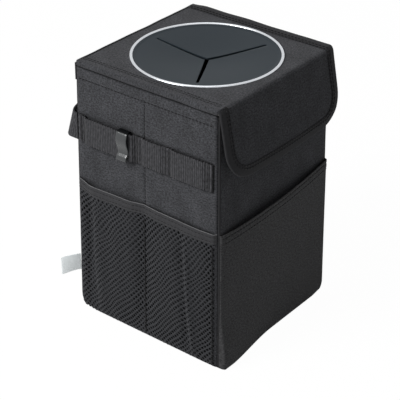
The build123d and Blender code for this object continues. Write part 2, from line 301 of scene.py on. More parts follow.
def feed(material, socket, source):
    shader = material.node_tree.nodes["Principled BSDF"]
    material.node_tree.links.new(source, shader.inputs[socket])


def mapped(material, kind, scale):
    """Coordinates of one kind, UV in metres of cloth or Object, scaled by a Mapping node."""
    coordinates = node(material, "TexCoord")
    mapping = node(material, "Mapping", {"Vector": coordinates.outputs[kind]})
    mapping.inputs["Scale"].default_value = scale
    return mapping.outputs["Vector"]


def mottle(material, colour, kind, scale, spread, detail=3.0):
    """Colour that wanders a little about its mean, at a scale given in waves per metre."""
    where = mapped(material, kind, scale)
    cloud = node(material, "TexNoise", {"Vector": where}, Scale=1.0, Detail=detail)
    ramp = node(material, "ValToRGB", {"Fac": cloud.outputs["Fac"]})
    low, high = ramp.color_ramp.elements
    low.position, high.position = NOISE_RANGE
    low.color = (*[channel * (1 - spread) for channel in colour], 1)
    high.color = (*[channel * (1 + spread) for channel in colour], 1)
    feed(material, "Base Color", ramp.outputs["Color"])
    return cloud


def tint(material, source, low, high, least, most):
    """Scale the colour by a share, from least to most, as another node's value goes from low to high."""
    shader = material.node_tree.nodes["Principled BSDF"]
    colour = shader.inputs["Base Color"].links[0].from_socket
    levels = {"From_Min": low, "From_Max": high, "To_Min": least, "To_Max": most}
    share = node(material, "MapRange", {"Value": source}, **levels)
    scaled = node(material, "VectorMath", {0: colour, "Scale": share.outputs["Result"]}, operation="SCALE")
    feed(material, "Base Color", scaled.outputs["Vector"])


def wear(material, scale, spread):
    """Make the colour a little lighter and darker over broad patches, as handled cloth gets."""
    patches = node(material, "TexNoise", {"Vector": mapped(material, "UV", scale)}, Scale=1.0, Detail=3.0)
    tint(material, patches.outputs["Fac"], *NOISE_RANGE, 1 - spread, 1 + spread)


def relief(material, height, strength, depth):
    lift = node(material, "Bump", {"Height": height}, Strength=strength, Distance=depth)
    feed(material, "Normal", lift.outputs["Normal"])


def band_wave(material, pitch, direction):
    """Ridges across the UV map, one every pitch metres."""
    where = mapped(material, "UV", (1, 1, 1))
    scale = 2 * math.pi / (20 * pitch)
    wave = node(material, "TexWave", {"Vector": where}, bands_direction=direction, Scale=scale)
    return wave.outputs["Fac"]


def paint_gap_shade(material, reach, least):
    """Paint shade into the colour: darker down in gaps and folds, found by ambient occlusion, to the least
    share of itself.
    """
    gap_occlusion = node(material, "AmbientOcclusion", Distance=reach)
    tint(material, gap_occlusion.outputs["AO"], 0.25, 0.9, least, 1.0)


def woven_cloth(name, colour, pitch, depth, spread=0.6, worn=0.2):
    """Plain weave: warp over weft in a chequer, with uneven yarn."""
    material = surface(name, colour, 0.9, Specular_IOR_Level=0.16, Sheen_Weight=0.06)
    mottle(material, colour, "UV", (520, 760, 1), spread, detail=2.0)
    wear(material, (70, 45, 1), worn)
    # Painted shade in the cloth's gaps and folds.
    paint_gap_shade(material, 5 * MM, 0.25)
    warp = band_wave(material, pitch, "X")
    weft = band_wave(material, pitch, "Y")
    chequer = node(material, "TexChecker", {"Vector": mapped(material, "UV", (1, 1, 1))}, Scale=1 / pitch)
    weave = node(material, "Mix", {"Factor": chequer.outputs["Fac"], "A": warp, "B": weft})
    relief(material, weave.outputs["Result"], 0.55, depth)
    return material


def ribbed_tape(name, colour, pitch, depth, direction="X", spread=0.12, roughness=0.85, shine=0.2):
    """Narrow tape with fine ribs across it or along it."""
    material = surface(name, colour, roughness, Specular_IOR_Level=shine, Sheen_Weight=0.05)
    mottle(material, colour, "UV", (300, 300, 1), spread)
    relief(material, band_wave(material, pitch, direction), 0.7, depth)
    return material


def twill_webbing(name, colour):
    """Webbing with ribs across it, broken by a slanting twill. Its colour has painted shade in the grooves
    and painted light on the ribs.
    """
    material = surface(name, colour, 0.85, Specular_IOR_Level=0.2, Sheen_Weight=0.08)
    mottle(material, colour, "UV", (900, 300, 1), 0.5)
    # Painted shade in the webbing's gaps and folds.
    paint_gap_shade(material, 5 * MM, 0.2)
    rib = band_wave(material, 1.9 * MM, "X")
    # Painted shade and highlight: darker in the grooves between ribs, lighter on their crests.
    tint(material, rib, 0.0, 1.0, 0.55, 1.4)
    slant = band_wave(material, 4.0 * MM, "DIAGONAL")
    twill = node(material, "Math", {0: rib, 1: slant}, operation="ADD")
    relief(material, twill.outputs["Value"], 0.8, 0.3 * MM)
    return material


def pile_tape(name, colour, size):
    """Hook or loop tape: a fine uneven pile."""
    material = surface(name, colour, 0.95, Specular_IOR_Level=0.12, Sheen_Weight=0.1)
    cloud = mottle(material, colour, "Object", (1 / size, 1 / size, 1 / size), 0.35)
    relief(material, cloud.outputs["Fac"], 1.0, 0.5 * MM)
    return material


def moulded(name, colour, roughness, grain, depth, **sockets):
    """Moulded plastic or rubber with a fine surface grain and a little change of gloss."""
    material = surface(name, colour, roughness, **sockets)
    cloud = mottle(material, colour, "Object", (grain, grain, grain), 0.06)
    levels = {"To_Min": roughness - 0.05, "To_Max": roughness + 0.05}
    gloss = node(material, "MapRange", {"Value": cloud.outputs["Fac"]}, **levels)
    feed(material, "Roughness", gloss.outputs["Result"])
    relief(material, cloud.outputs["Fac"], 0.25, depth)
    return material


def clip_moulding(matt_shaded_above):
    """Glossy black plastic. Above one height, on the clip's bent top, it is matt and its colour is darkened
    as painted shade.
    """
    material = moulded("clip_moulding", (0.034, 0.037, 0.039), 0.26, 1400, 0.01 * MM)
    coordinates = node(material, "TexCoord")
    height = node(material, "SeparateXYZ", {"Vector": coordinates.outputs["Object"]}).outputs["Z"]
    matt_shaded_full = matt_shaded_above + 0.3 * MM
    levels = {"From_Min": matt_shaded_above, "From_Max": matt_shaded_full, "To_Min": 0.6, "To_Max": 0.03}
    shine = node(material, "MapRange", {"Value": height}, **levels)
    feed(material, "Specular IOR Level", shine.outputs["Result"])
    # Painted shade: the bent top's colour is made darker.
    tint(material, height, matt_shaded_above, matt_shaded_full, 1.0, 0.2)
    return material


def brushed_silver():
    """Bright plated ring with faint turned lines."""
    colour = (0.60, 0.62, 0.65)
    material = surface("silver_trim", colour, 0.26, Metallic=1.0)
    lines = mottle(material, colour, "Object", (900, 900, 9000), 0.04)
    relief(material, lines.outputs["Fac"], 0.08, 0.02 * MM)
    return material


OXFORD = woven_cloth("black_oxford_cloth", (0.049, 0.050, 0.055), 0.75 * MM, 0.16 * MM)
POCKET_CLOTH = woven_cloth("pocket_cloth", (0.056, 0.056, 0.058), 0.75 * MM, 0.16 * MM, worn=0.06)
LINING = woven_cloth("lining_cloth", (0.030, 0.030, 0.032), 0.4 * MM, 0.06 * MM, spread=0.1, worn=0.05)
BINDING = ribbed_tape("edge_binding_tape", (0.021, 0.021, 0.023), 0.9 * MM, 0.12 * MM)
ELASTIC = ribbed_tape("pocket_elastic", (0.040, 0.040, 0.043), 1.3 * MM, 0.15 * MM, direction="Y")
WEBBING = twill_webbing("strap_webbing", (0.042, 0.042, 0.046))
NET = ribbed_tape("net_yarn", (0.038, 0.039, 0.043), 0.5 * MM, 0.05 * MM, spread=0.2)
# A light cord on the elastic's top edge, as a painted highlight.
EDGE_HIGHLIGHT_CORD = ribbed_tape("elastic_edge_highlight_cord", (0.17, 0.17, 0.175), 0.6 * MM, 0.05 * MM)
THREAD = ribbed_tape("sewing_thread", (0.005, 0.005, 0.006), 0.4 * MM, 0.05 * MM, roughness=0.7)
HOOKS = pile_tape("hook_pile", (0.020, 0.020, 0.021), 0.7 * MM)
LOOPS = pile_tape("loop_pile", (0.024, 0.024, 0.025), 1.1 * MM)
FILM = moulded("liner_film", (0.075, 0.077, 0.080), 0.42, 260, 0.2 * MM)
RUBBER = moulded("soft_membrane_rubber", (0.025, 0.033, 0.040), 0.5, 900, 0.02 * MM, Specular_IOR_Level=0.1)
SILVER = brushed_silver()
CLIP = clip_moulding(WEBBING_MIDDLE + 13.3 * MM)
BLACK_PLASTIC = moulded("ring_moulding", (0.020, 0.020, 0.021), 0.4, 1200, 0.03 * MM)
TAG = ribbed_tape("bare_tag_ribbon", (0.93, 0.98, 0.99), 0.45 * MM, 0.04 * MM, direction="Y", spread=0.03,
                  roughness=0.4, shine=0.9)
BOARD = moulded("stiffener_sheet", (0.14, 0.13, 0.12), 0.6, 500, 0.05 * MM)


# Cloth laid from rows of points


def laid_cloth(name, rows):
    """A grid of cloth with each row of points where it lies. Its UV map is in metres along the cloth."""
    columns, lines = len(rows[0]) - 1, len(rows) - 1
    deselect()
    bpy.ops.mesh.primitive_grid_add(x_subdivisions=columns, y_subdivisions=lines, size=1)
    piece = added(name)
    middle_row, middle_column = rows[lines // 2], [row[columns // 2] for row in rows]
    across, along = [0.0], [0.0]
    for steps, line in ((across, middle_row), (along, middle_column)):
        for a, b in zip(line, line[1:]):
            steps.append(steps[-1] + (b - a).length)
    grid_place = {}
    for point in piece.data.vertices:
        column = round((point.co.x + 0.5) * columns)
        line = round((point.co.y + 0.5) * lines)
        grid_place[point.index] = (across[column], along[line])
        point.co = rows[line][column]
    layer = piece.data.uv_layers.active.data
    for loop in piece.data.loops:
        layer[loop.index].uv = grid_place[loop.vertex_index]
    return piece


def trim(piece, point, direction):
    """Cut away what lies past a plane."""
    edit(piece)
    bpy.ops.mesh.bisect(plane_co=point, plane_no=direction, clear_outer=True)
    leave_edit()


def poly_line(name, points):
    """A curve object with straight runs between points."""
    curve = bpy.data.curves.new(name, "CURVE")
    curve.dimensions = "3D"
    spline = curve.splines.new("POLY")
    spline.points.add(len(points) - 1)
    for knot, point in zip(spline.points, points):
        knot.co = (*point, 1)
    line = bpy.data.objects.new(name, curve)
    bpy.context.scene.collection.objects.link(line)
    return line


def tube(name, points, radius, sides=5):
    """A round cord along points, as a mesh."""
    cord = poly_line(name, points)
    cord.data.bevel_depth = radius
    cord.data.bevel_resolution = sides
    cord.data.use_fill_caps = True
    take(cord)
    bpy.ops.object.convert(target="MESH")
    return cord


# Walls of the box

# Where the seams lie, how far the cloth turns in there, its hem, its rim and its edge on the floor
SEAM_SET = 2.0 * MM
EDGE_TURN = 2.2 * MM
EDGE_TAIL = 1.6 * MM
WALL_CLOTH = 0.9 * MM
HEM_DEPTH = 11.0 * MM
RIM_ROUND = 1.5 * MM
RIM_TOP = RIM_Z - 1.1 * MM
RIM_INNER = half_at(RIM_Z) - 4.6 * MM
FLOOR_TAIL = 9.0 * MM

# The front rim dips at its corners, between two distances from the middle, to clear the flap's edge tape
RIM_DIP = 2.0 * MM
RIM_DIP_FROM, RIM_DIP_FULL = 66.0 * MM, 71.0 * MM

# The base's corners are drawn in, up to a height and along a reach, the near one by a share of it
CORNER_PULL, CORNER_RISE, CORNER_REACH = 2.6 * MM, 13.0 * MM, 22.0 * MM
NEAR_CORNER_SHARE = 0.2

# Unevenness of the wall cloth: broad and fine waves as (depth, size), wrinkles in two slack bands given as
# (middle, reach), then as (depth, reach) the groove of the hem and the crease of a side with its shoulders
WALL_WAVES = ((0.30 * MM, 48 * MM), (0.10 * MM, 15 * MM))
WRINKLE_DEPTH, WRINKLE_SIZE = 1.0 * MM, 19 * MM
SLACK_BANDS = ((RIM_Z - 30 * MM, 20 * MM), (ELASTIC_HIGH + 16 * MM, 14 * MM))
HEM_GROOVE = (0.35 * MM, 1.0 * MM)
SIDE_CREASE = ((0.85 * MM, 1.1 * MM), (-0.25 * MM, 9 * MM))


def settle(point):
    """Draw the sewn corners of the base in, so that they are round. The near one is held by its pocket."""
    corner = smooth_step(BASE_HALF - CORNER_REACH, BASE_HALF, min(abs(point.x), abs(point.y)))
    pull = CORNER_PULL * corner * max(1 - point.z / CORNER_RISE, 0.0) ** 2
    if point.x < 0 and point.y < 0:
        pull *= NEAR_CORNER_SHARE
    return point - Vector((math.copysign(pull, point.x), math.copysign(pull, point.y), 0))


def wall_profile():
    """Points up a wall in side view as (out, height, normal): floor edge, foot turn, wall, rim and hem."""
    points = [(BASE_HALF - FOOT_TURN - FLOOR_TAIL, 0.0, (0.0, -1.0))]

    def turn(out, height, radius, start, end, steps):
        for facing in map(polar, spread_evenly(start, end, steps)):
            points.append((out + radius * facing[0], height + radius * facing[1], facing))

    turn(BASE_HALF - FOOT_TURN, FOOT_TURN, FOOT_TURN, -90, 0, 7)
    for height in spread_evenly(FOOT_TURN, RIM_TOP - RIM_ROUND, 84)[1:-1]:
        points.append((half_at(height), height, (1.0, 0.0)))
    turn(half_at(RIM_Z) - RIM_ROUND, RIM_TOP - RIM_ROUND, RIM_ROUND, 0, 90, 4)
    turn(RIM_INNER + RIM_ROUND, RIM_TOP - RIM_ROUND, RIM_ROUND, 90, 180, 4)
    points.append((RIM_INNER, RIM_Z - HEM_DEPTH / 2, (-1.0, 0.0)))
    points.append((RIM_INNER, RIM_Z - HEM_DEPTH, (-1.0, 0.0)))
    return points


def pocket_half(height):
    """Half the width of a pocket, which is sewn into the corner seams."""
    return half_at(height) - SEAM_SET


def flat_half(height):
    """Half the flat of a wall or of the front pocket, between its turned edges."""
    return pocket_half(height) - EDGE_TURN


def edge_stations(flat_steps):
    """Places across a wall as (share of the flat, distance past it, drop), with the turned edges."""
    turns = map(polar, (22.5, 45.0, 67.5, 90.0))
    turned = [(EDGE_TURN * sine, EDGE_TURN * (1 - cosine)) for cosine, sine in turns]
    turned.append((EDGE_TURN, EDGE_TURN + EDGE_TAIL))
    left = [(-1.0, -past, drop) for past, drop in reversed(turned)]
    flat = [(share, 0.0, 0.0) for share in spread_evenly(-1.0, 1.0, flat_steps)]
    return left + flat + [(1.0, past, drop) for past, drop in turned]


def wall_relief(side, along, height):
    """How far the cloth of a wall stands out of its flat, between its seams and over its boards."""
    seed = WALL_TURNS[side] / 37.0
    lift = sum(depth * ripple((along, height, 0), size, seed) for depth, size in WALL_WAVES)
    slack = sum(bump(middle, reach, height) for middle, reach in SLACK_BANDS)
    lift += WRINKLE_DEPTH * slack * ripple((along, 0.35 * height + 0.3 * along, 0), WRINKLE_SIZE, seed + 5)
    hem = RIM_Z - HEM_DEPTH
    lift -= HEM_GROOVE[0] * bump(hem, HEM_GROOVE[1], height)
    if side in ("left", "right"):
        crease = sum(depth * bump(0, reach, along) for depth, reach in SIDE_CREASE)
        lift -= crease * smooth_step(hem, hem - 6 * MM, height)
    return lift * smooth_step(flat_half(height), half_at(height) - 16 * MM, abs(along))


def wall_panel(side):
    """One wall: cloth turned in at its foot, its rim and its two upright seams."""
    rows = []
    for out, height, facing in wall_profile():
        flat = flat_half(height)
        if facing[1] < -0.5 or facing[0] < -0.5:
            flat = min(flat, out - SEAM_SET)
        row = []
        for share, past, drop in edge_stations(112):
            along = share * flat + past
            lift = wall_relief(side, along, height) if facing[0] > 0.9 else 0.0
            inward = drop - lift
            point = Vector((along, -(out - facing[0] * inward), height - facing[1] * inward))
            if side == "front":
                at_corner = smooth_step(RIM_DIP_FROM, RIM_DIP_FULL, abs(along))
                point.z -= RIM_DIP * at_corner * smooth_step(RIM_TOP - 9 * MM, RIM_TOP - 1 * MM, height)
            row.append(settle(turned_to(side, point)))
        rows.append(row)
    panel = laid_cloth(side + "_wall_cloth", rows)
    thicken(panel, WALL_CLOTH)
    put_on(panel, "bin", "woven_fabric", OXFORD, side + "_panel")


def floor_cloth():
    """The base: a square of cloth inside the turned feet of the walls, quilted a little by its board."""
    half = BASE_HALF - FOOT_TURN - 1.0 * MM
    steps = spread_evenly(-half, half, 40)
    rows = [[Vector((x, -y, 0.35 * MM + 0.2 * MM * ripple((x, y, 0), 0.03))) for x in steps] for y in steps]
    cloth = laid_cloth("base_cloth", rows)
    thicken(cloth, 0.6 * MM, offset=1.0)
    outward(cloth)
    put_on(cloth, "bin", "woven_fabric", OXFORD, "base_panel", shade=40)


def corner_piping(corner, sign_x, sign_y):
    """The bead in one upright corner seam, on the front or back panel's side of it."""
    bead, across, back = 1.0 * MM, 2.7 * MM, 1.1 * MM
    points = []
    for height in spread_evenly(FOOT_TURN * 0.6, RIM_Z - 2 * MM, 60):
        wander = 0.12 * MM * ripple((0, 0, height), 0.012, sign_x + 3 * sign_y)
        half = half_at(height)
        points.append(settle(Vector((sign_x * (half - across + wander), sign_y * (half - back), height))))
    piping = tube(corner + "_seam_bead", points, bead)
    put_on(piping, "bin", "binding_tape", BINDING, corner + "_piping", shade=60)


for wall in WALL_TURNS:
    wall_panel(wall)
floor_cloth()
for corner, sign_x, sign_y in (("front_left", -1, -1), ("front_right", 1, -1), ("rear_left", -1, 1),
                               ("rear_right", 1, 1)):
    corner_piping(corner, sign_x, sign_y)


# Sewing thread

# Share of a stitch's pitch that its thread covers
STITCH_COVER = 0.92


def stitch_run(name, points, pitch=3.6 * MM, width=1.0 * MM):
    """One stitch, repeated along a seam line."""
    seam = poly_line(name + "_line", points)
    deselect()
    bpy.ops.mesh.primitive_ico_sphere_add(subdivisions=1, radius=0.5)
    stitch = added(name)
    for point in stitch.data.vertices:
        point.co = ((point.co.x * STITCH_COVER + 0.5) * pitch, point.co.y * width, point.co.z * width)
    count = max(int(path_length(points) / pitch), 1)
    finish_with(stitch, "ARRAY", count=count, use_relative_offset=False, use_constant_offset=True,
                constant_offset_displace=(pitch, 0, 0))
    finish_with(stitch, "CURVE", object=seam, deform_axis="POS_X")
    bpy.data.objects.remove(seam)
    return stitch


def sewn(name, lines, body, slot, **settings):
    """Several seam lines as one piece of thread work."""
    thread = joined([stitch_run(name, line, **settings) for line in lines], name)
    return put_on(thread, body, slot, THREAD, shade=80)


# Lid and flap: cover, lining, edge binding, hinge cloth and closure tapes

# Rounds of the fold in cover and lining, the flap's inner face, how the flap bulges, sags and tucks in, the
# edge tape and its stitch lines, and how the lid's rear, right edge and cloth depart from its flat
FOLD_ROUND = 4.5 * MM
LINING_ROUND = 0.8 * MM
FLAP_INNER = 0.3 * MM
FLAP_BULGE = 1.6 * MM
FLAP_BELLY = 2.6 * MM
FLAP_TUCK = 2.2 * MM
BINDING_FILM = 0.5 * MM
BINDING_LINES = (6.2 * MM, 8.8 * MM)
COVER_REAR = LID_REAR - 1.3 * MM
RIGHT_LIFT = 1.7 * MM
LID_RIPPLE = 0.45 * MM

# The upper and the lower layer of lid and flap: level on the lid, plane of the flap and round of the fold
COVER_LAYER = (LID_TOP, ROLL, FOLD_ROUND)
LINING_LAYER = (LID_LOW, FLAP_INNER, LINING_ROUND)


def fold_centre(level, offset, radius):
    """Centre of the rounded fold from a level of the lid into a plane of the flap."""
    height = level - radius
    drop = (offset - radius) - (height - FOLD.z) * math.sin(FLAP_TILT)
    return Vector((0, FOLD.y - drop / math.cos(FLAP_TILT), height))


def fold_facings(steps):
    """Directions round the fold, from straight up to square out of the flap."""
    for angle in spread_evenly(90, 180 - math.degrees(FLAP_TILT), steps):
        yield Vector((0, *polar(angle)))


def corner_way(sign, angle):
    """A direction in the flap's plane, from straight out to one side at 0 degrees to down at 90."""
    aside, down = polar(angle)
    return Vector((sign * aside, 0, 0)) + FLAP_DOWN * down


def lid_flap_line(level, offset, radius):
    """Side view of one layer of the lid that runs on into the flap, from the hinge to the free edge."""
    centre = fold_centre(level, offset, radius)
    line = [Vector((0, y, level)) for y in spread_evenly(COVER_REAR, centre.y, 50)[:-1]]
    line += [centre + radius * facing for facing in fold_facings(10)]
    last = line[-1]
    reach = FLAP_LENGTH - (last - FOLD).dot(FLAP_DOWN)
    line += [last + FLAP_DOWN * step for step in spread_evenly(0, reach, 24)[1:]]
    return line


def sway(point):
    """How far the finished lid and flap stand off their flat layers: a bulging flap and uneven cloth."""
    down = (point - FOLD).dot(FLAP_DOWN)
    middle = 1 - min(abs(point.x) / LID_HALF, 1.0) ** 2
    share = smooth_step(4 * MM, FLAP_LENGTH, down)
    wave = ripple((point.x, down, 0), 0.04, 4.0)
    on_flap = FLAP_OUT * (share * middle * FLAP_BULGE + LID_RIPPLE * share * wave)
    on_flap += FLAP_DOWN * share * middle * FLAP_BELLY
    on_flap -= FLAP_OUT * FLAP_TUCK * smooth_step(FLAP_LENGTH - 12 * MM, FLAP_LENGTH + 4 * MM, down)
    near_ring = smooth_step(RING_OUTER, RING_OUTER + 12 * MM, (point - MOUTH).length)
    on_lid = Vector((0, 0, LID_RIPPLE * near_ring * ripple((point.x, point.y, 0), 0.024, 7.0)))
    upper = smooth_step(LID_LOW, LID_TOP, point.z)
    edge_lift = RIGHT_LIFT * smooth_step(LID_HALF - 12 * MM, LID_HALF, point.x)
    on_lid.z += upper * edge_lift * (1 - 0.85 * smooth_step(LID_REAR - 18 * MM, LID_REAR, point.y))
    return on_flap + on_lid * (1 - share)


def swayed(points):
    """Points of the flat layers, moved to where the finished lid and flap lie."""
    return [point + sway(point) for point in points]


def lid_flap_layer(name, level, offset, radius):
    """One layer of lid and flap, cut to the flap's round corners, with its unevenness."""
    columns = spread_evenly(-LID_HALF, LID_HALF, 56)
    line = lid_flap_line(level, offset, radius)
    layer = laid_cloth(name, [[Vector((x, point.y, point.z)) for x in columns] for point in line])
    corner_down = FLAP_DOWN * (FLAP_LENGTH - FLAP_CORNER)
    for sign in (-1, 1):
        centre = FOLD + FLAP_OUT * offset + corner_down + Vector((sign * (LID_HALF - FLAP_CORNER), 0, 0))
        for angle in (15, 30, 45, 60, 75):
            away = corner_way(sign, angle)
            trim(layer, centre + away * FLAP_CORNER, away)
    for point in layer.data.vertices:
        point.co = point.co + sway(point.co)
    return layer


def bore(piece):
    """Cut the round mouth through a layer of the lid, its edge hidden under the ring."""
    deselect()
    bpy.ops.mesh.primitive_cylinder_add(vertices=160, radius=MOUTH_CUT, depth=20 * MM, location=MOUTH)
    punch = added("mouth_punch")
    finish_with(piece, "BOOLEAN", operation="DIFFERENCE", object=punch, solver="EXACT")
    bpy.data.objects.remove(punch)


def bend_at_fold(piece):
    """Apply a piece of lid and flap's transform to its mesh."""
    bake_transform(piece)


def lid_flap_sheet(name, layer, thickness, offset, slot, material, *nodes):
    """The cover or the lining: one cloth over lid and flap, with the round mouth cut in it."""
    cloth = lid_flap_layer(name, *layer)
    look(cloth, UP)
    thicken(cloth, thickness, offset)
    bore(cloth)
    put_on(cloth, None, slot, material, *nodes)
    bend_at_fold(cloth)
    width, length = 2 * LID_HALF, path_length(lid_flap_line(*layer))


def binding_stations():
    """Places along the bound edge as (edge point, inward, up, thickness), from left rear to right rear."""
    lid_depth, flap_depth = LID_TOP - LID_LOW, ROLL - FLAP_INNER
    centre = fold_centre(*COVER_LAYER)
    side = [(Vector((0, y, LID_TOP)), UP, lid_depth) for y in spread_evenly(LID_REAR, centre.y, 56)[:-1]]
    for share, facing in zip(spread_evenly(0, 1, 10), fold_facings(10)):
        depth = lid_depth + (flap_depth - lid_depth) * smooth_step(0, 1, share)
        side.append((centre + FOLD_ROUND * facing, facing, depth))
    last = side[-1][0]
    reach = FLAP_LENGTH - FLAP_CORNER - (last - FOLD).dot(FLAP_DOWN)
    side += [(last + FLAP_DOWN * step, FLAP_OUT, flap_depth) for step in spread_evenly(0, reach, 16)[1:]]
    span = LID_HALF - FLAP_CORNER

    def down_side(sign):
        edge, inward = Vector((sign * LID_HALF, 0, 0)), Vector((-sign, 0, 0))
        return [(point + edge, inward, facing, depth) for point, facing, depth in side]

    def round_corner(sign, start, end):
        hub = side[-1][0] + Vector((sign * span, 0, 0))
        ways = [corner_way(sign, angle) for angle in spread_evenly(start, end, 10)[1:]]
        return [(hub + FLAP_CORNER * away, -away, FLAP_OUT, flap_depth) for away in ways]

    low = side[-1][0] + FLAP_DOWN * FLAP_CORNER
    bottom = [low + Vector((x, 0, 0)) for x in spread_evenly(-span, span, 44)[1:]]
    stations = down_side(-1) + round_corner(-1, 0, 90)
    stations += [(point, -FLAP_DOWN, FLAP_OUT, flap_depth) for point in bottom]
    return stations + round_corner(1, 90, 0) + down_side(1)[-2::-1]


def binding_profile(depth):
    """The folded tape in section, as (inward, up) from the edge of the layers' top face."""
    film, width = BINDING_FILM, BINDING_WIDTH
    top = [(width, 0.05 * MM), (width - 0.2 * MM, film), (0.75 * width, film), (0.5 * width, 1.15 * film),
           (0.25 * width, film)]
    set_in = 0.7 * MM
    reach, half = set_in + film, depth / 2 + film
    turns = map(polar, spread_evenly(90, 270, 8))
    edge = [(set_in + reach * across, -depth / 2 + half * upward) for across, upward in turns]
    bottom = [(inward, -depth - up) for inward, up in reversed(top)]
    return top + edge + bottom


def edge_tape(name, stations, material, *nodes):
    """A run of tape folded over the edge, at a list of stations."""
    rows = []
    for point, inward, up, depth in stations:
        section = binding_profile(depth)
        rows.append(swayed(point + inward * across + up * height for across, height in section))
    tape = laid_cloth(name, rows)
    thicken(tape, 0.35 * MM)
    outward(tape)
    put_on(tape, None, "binding_tape", material, *nodes, shade=60)
    bend_at_fold(tape)


def edge_stitches(name, stations, width):
    """Two lines of stitches through the edge tape."""
    rise = BINDING_FILM + 0.25 * MM
    lines = []
    for inset in BINDING_LINES:
        lines.append(swayed(point + inward * inset + up * rise for point, inward, up, _ in stations))
    bend_at_fold(sewn(name, lines, None, "binding_tape", width=width))


def bound_edge():
    """Cloth over the lid's left edge, tape round the flap and up the lid's right edge, and the stitches."""
    stations = binding_stations()
    on_left = sum(point.x < 0 and up.z > 0.99 for point, _, up, _ in stations)
    left, rest = stations[:on_left], stations[on_left:]
    under_tape = 4
    edge_tape("lid_left_edge", stations[:on_left + under_tape], OXFORD, "lid_binding_left")
    edge_tape("flap_and_right_binding", rest, BINDING, "lid_binding_right", "flap_binding")
    edge_stitches("lid_left_stitches", left, 0.6 * MM)
    edge_stitches("flap_and_right_stitches", rest, 1.25 * MM)


def hinge_cloth():
    """Cloth from the back wall round the soft rear edge to the lid's cover."""
    drop, clear = 15 * MM, 0.5 * MM
    foot = Vector((0, half_at(RIM_Z) + clear, RIM_Z + 0.4 * MM))
    shoulder = Vector((0, LID_REAR + 1.8 * MM, RIM_Z + 1.6 * MM))
    line = [Vector((0, half_at(z) + clear, z)) for z in spread_evenly(RIM_Z - drop, RIM_Z, 8)]
    line += [foot, (foot + shoulder) / 2]
    reach, rise = shoulder.y - COVER_REAR, LID_TOP - shoulder.z
    for across, upward in map(polar, spread_evenly(0, 90, 14)):
        line.append(Vector((0, COVER_REAR + reach * across, shoulder.z + rise * upward)))
    columns = spread_evenly(-half_at(RIM_Z) + 2 * MM, half_at(RIM_Z) - 2 * MM, 60)
    rows = []
    for point in line:
        waves = [0.15 * MM * ripple((x, point.z, 0), 0.02) for x in columns]
        rows.append(swayed(Vector((x, point.y + wave, point.z)) for x, wave in zip(columns, waves)))
    cloth = laid_cloth("hinge_cloth", rows)
    thicken(cloth, 0.7 * MM)
    outward(cloth)
    put_on(cloth, None, "woven_fabric", OXFORD, "hinge_tape")
    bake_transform(cloth)


# Hook and loop tape: its thickness with the pile, and the pile's share of it
CLOSURE_TAPE, PILE = 1.2 * MM, 0.5 * MM


def pile_strip(name, origin, across, down, facing, material, body, node_name, lines):
    """A strip of hook or loop tape: a base with rows of pile standing on it."""
    rows = []
    for v in spread_evenly(0, 1, lines):
        row = []
        for u in spread_evenly(-0.5, 0.5, 110):
            spot = origin + across * u + down * v
            inside = min(0.5 - abs(u), v, 1 - v) > 0.02
            pile = 0.30 * MM * (0.6 + ripple(spot, 1.3 * MM, 3.0)) if inside else 0.0
            row.append(spot + facing * (CLOSURE_TAPE - PILE + pile))
        rows.append(row)
    strip = laid_cloth(name, rows)
    thicken(strip, CLOSURE_TAPE - PILE)
    outward(strip)
    put_on(strip, body, "closure_tape", material, node_name)


def closure_tapes():
    """Loops on the front wall and hooks under the flap, where they meet."""
    low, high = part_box("loop_tape")
    width = Vector((high.x - low.x, 0, 0))
    wall_down = Vector((0, -LEAN, -1)).normalized() * (high.z - low.z)
    wall_out = Vector((0, -1, LEAN)).normalized()
    top = Vector((0, -half_at(high.z) - 0.1 * MM, high.z))
    pile_strip("loop_pile_strip", top, width, wall_down, wall_out, LOOPS, "bin", "loop_tape", 28)
    low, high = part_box("hook_tape")
    length = min((high.z - low.z) / math.cos(FLAP_TILT), 18 * MM)
    start = FOLD + FLAP_DOWN * ((FOLD.z - high.z) / math.cos(FLAP_TILT)) + FLAP_OUT * FLAP_INNER
    start += sway(start + FLAP_DOWN * 9 * MM)
    flap_down = FLAP_DOWN * length
    pile_strip("hook_pile_strip", start, width, flap_down, -FLAP_OUT, HOOKS, "flap", "hook_tape", 22)


lid_flap_sheet("lid_and_flap_cover", COVER_LAYER, COVER_CLOTH, -1.0, "woven_fabric", OXFORD, "lid_cover",
               "flap_cover")
lid_flap_sheet("lid_and_flap_lining", LINING_LAYER, LINING_CLOTH, 1.0, "lining", LINING, "lid_lining",
               "flap_lining")
bound_edge()
hinge_cloth()
closure_tapes()


# Mouth: silver ring and slit membrane


def trim_ring():
    """The ring's section, drawn as a small outline, is spun once round the mouth."""
    inner, outer = RING_OUTER - RING_WIDTH, RING_OUTER
    crest = RING_HIGH.z - LID_TOP
    side = [(0.05 * MM, -0.2 * MM), (0.0, 0.45 * crest), (0.25 * MM, 0.72 * crest), (0.7 * MM, 0.92 * crest)]
    section = [(inner + step, height) for step, height in side] + [(inner + RING_WIDTH / 2, crest)]
    section += [(outer - step, height) for step, height in reversed(side)]
    deselect()
    bpy.ops.mesh.primitive_circle_add(vertices=len(section), radius=1 * MM, fill_type="NOTHING")
    ring = added("silver_mouth_ring")
    for point, (radius, height) in zip(ring.data.vertices, section):
        point.co = MOUTH + Vector((radius, 0, height))
    edit(ring)
    bpy.ops.mesh.spin(steps=192, angle=2 * math.pi, center=MOUTH, axis=(0, 0, 1))
    leave_edit()
    outward(ring)
    put_on(ring, "lid", "silver_ring", SILVER, "trim_ring", shade=45)


# The membrane: its slits, how far it sags and its thickness
SLIT_COUNT = 3
SLIT_REACH = 55.0 * MM
SLIT_HALF_IN = 1.9 * MM
SLIT_HALF_OUT = 1.2 * MM
MEMBRANE_SAG = 5.2 * MM
MEMBRANE_FILM = 1.4 * MM


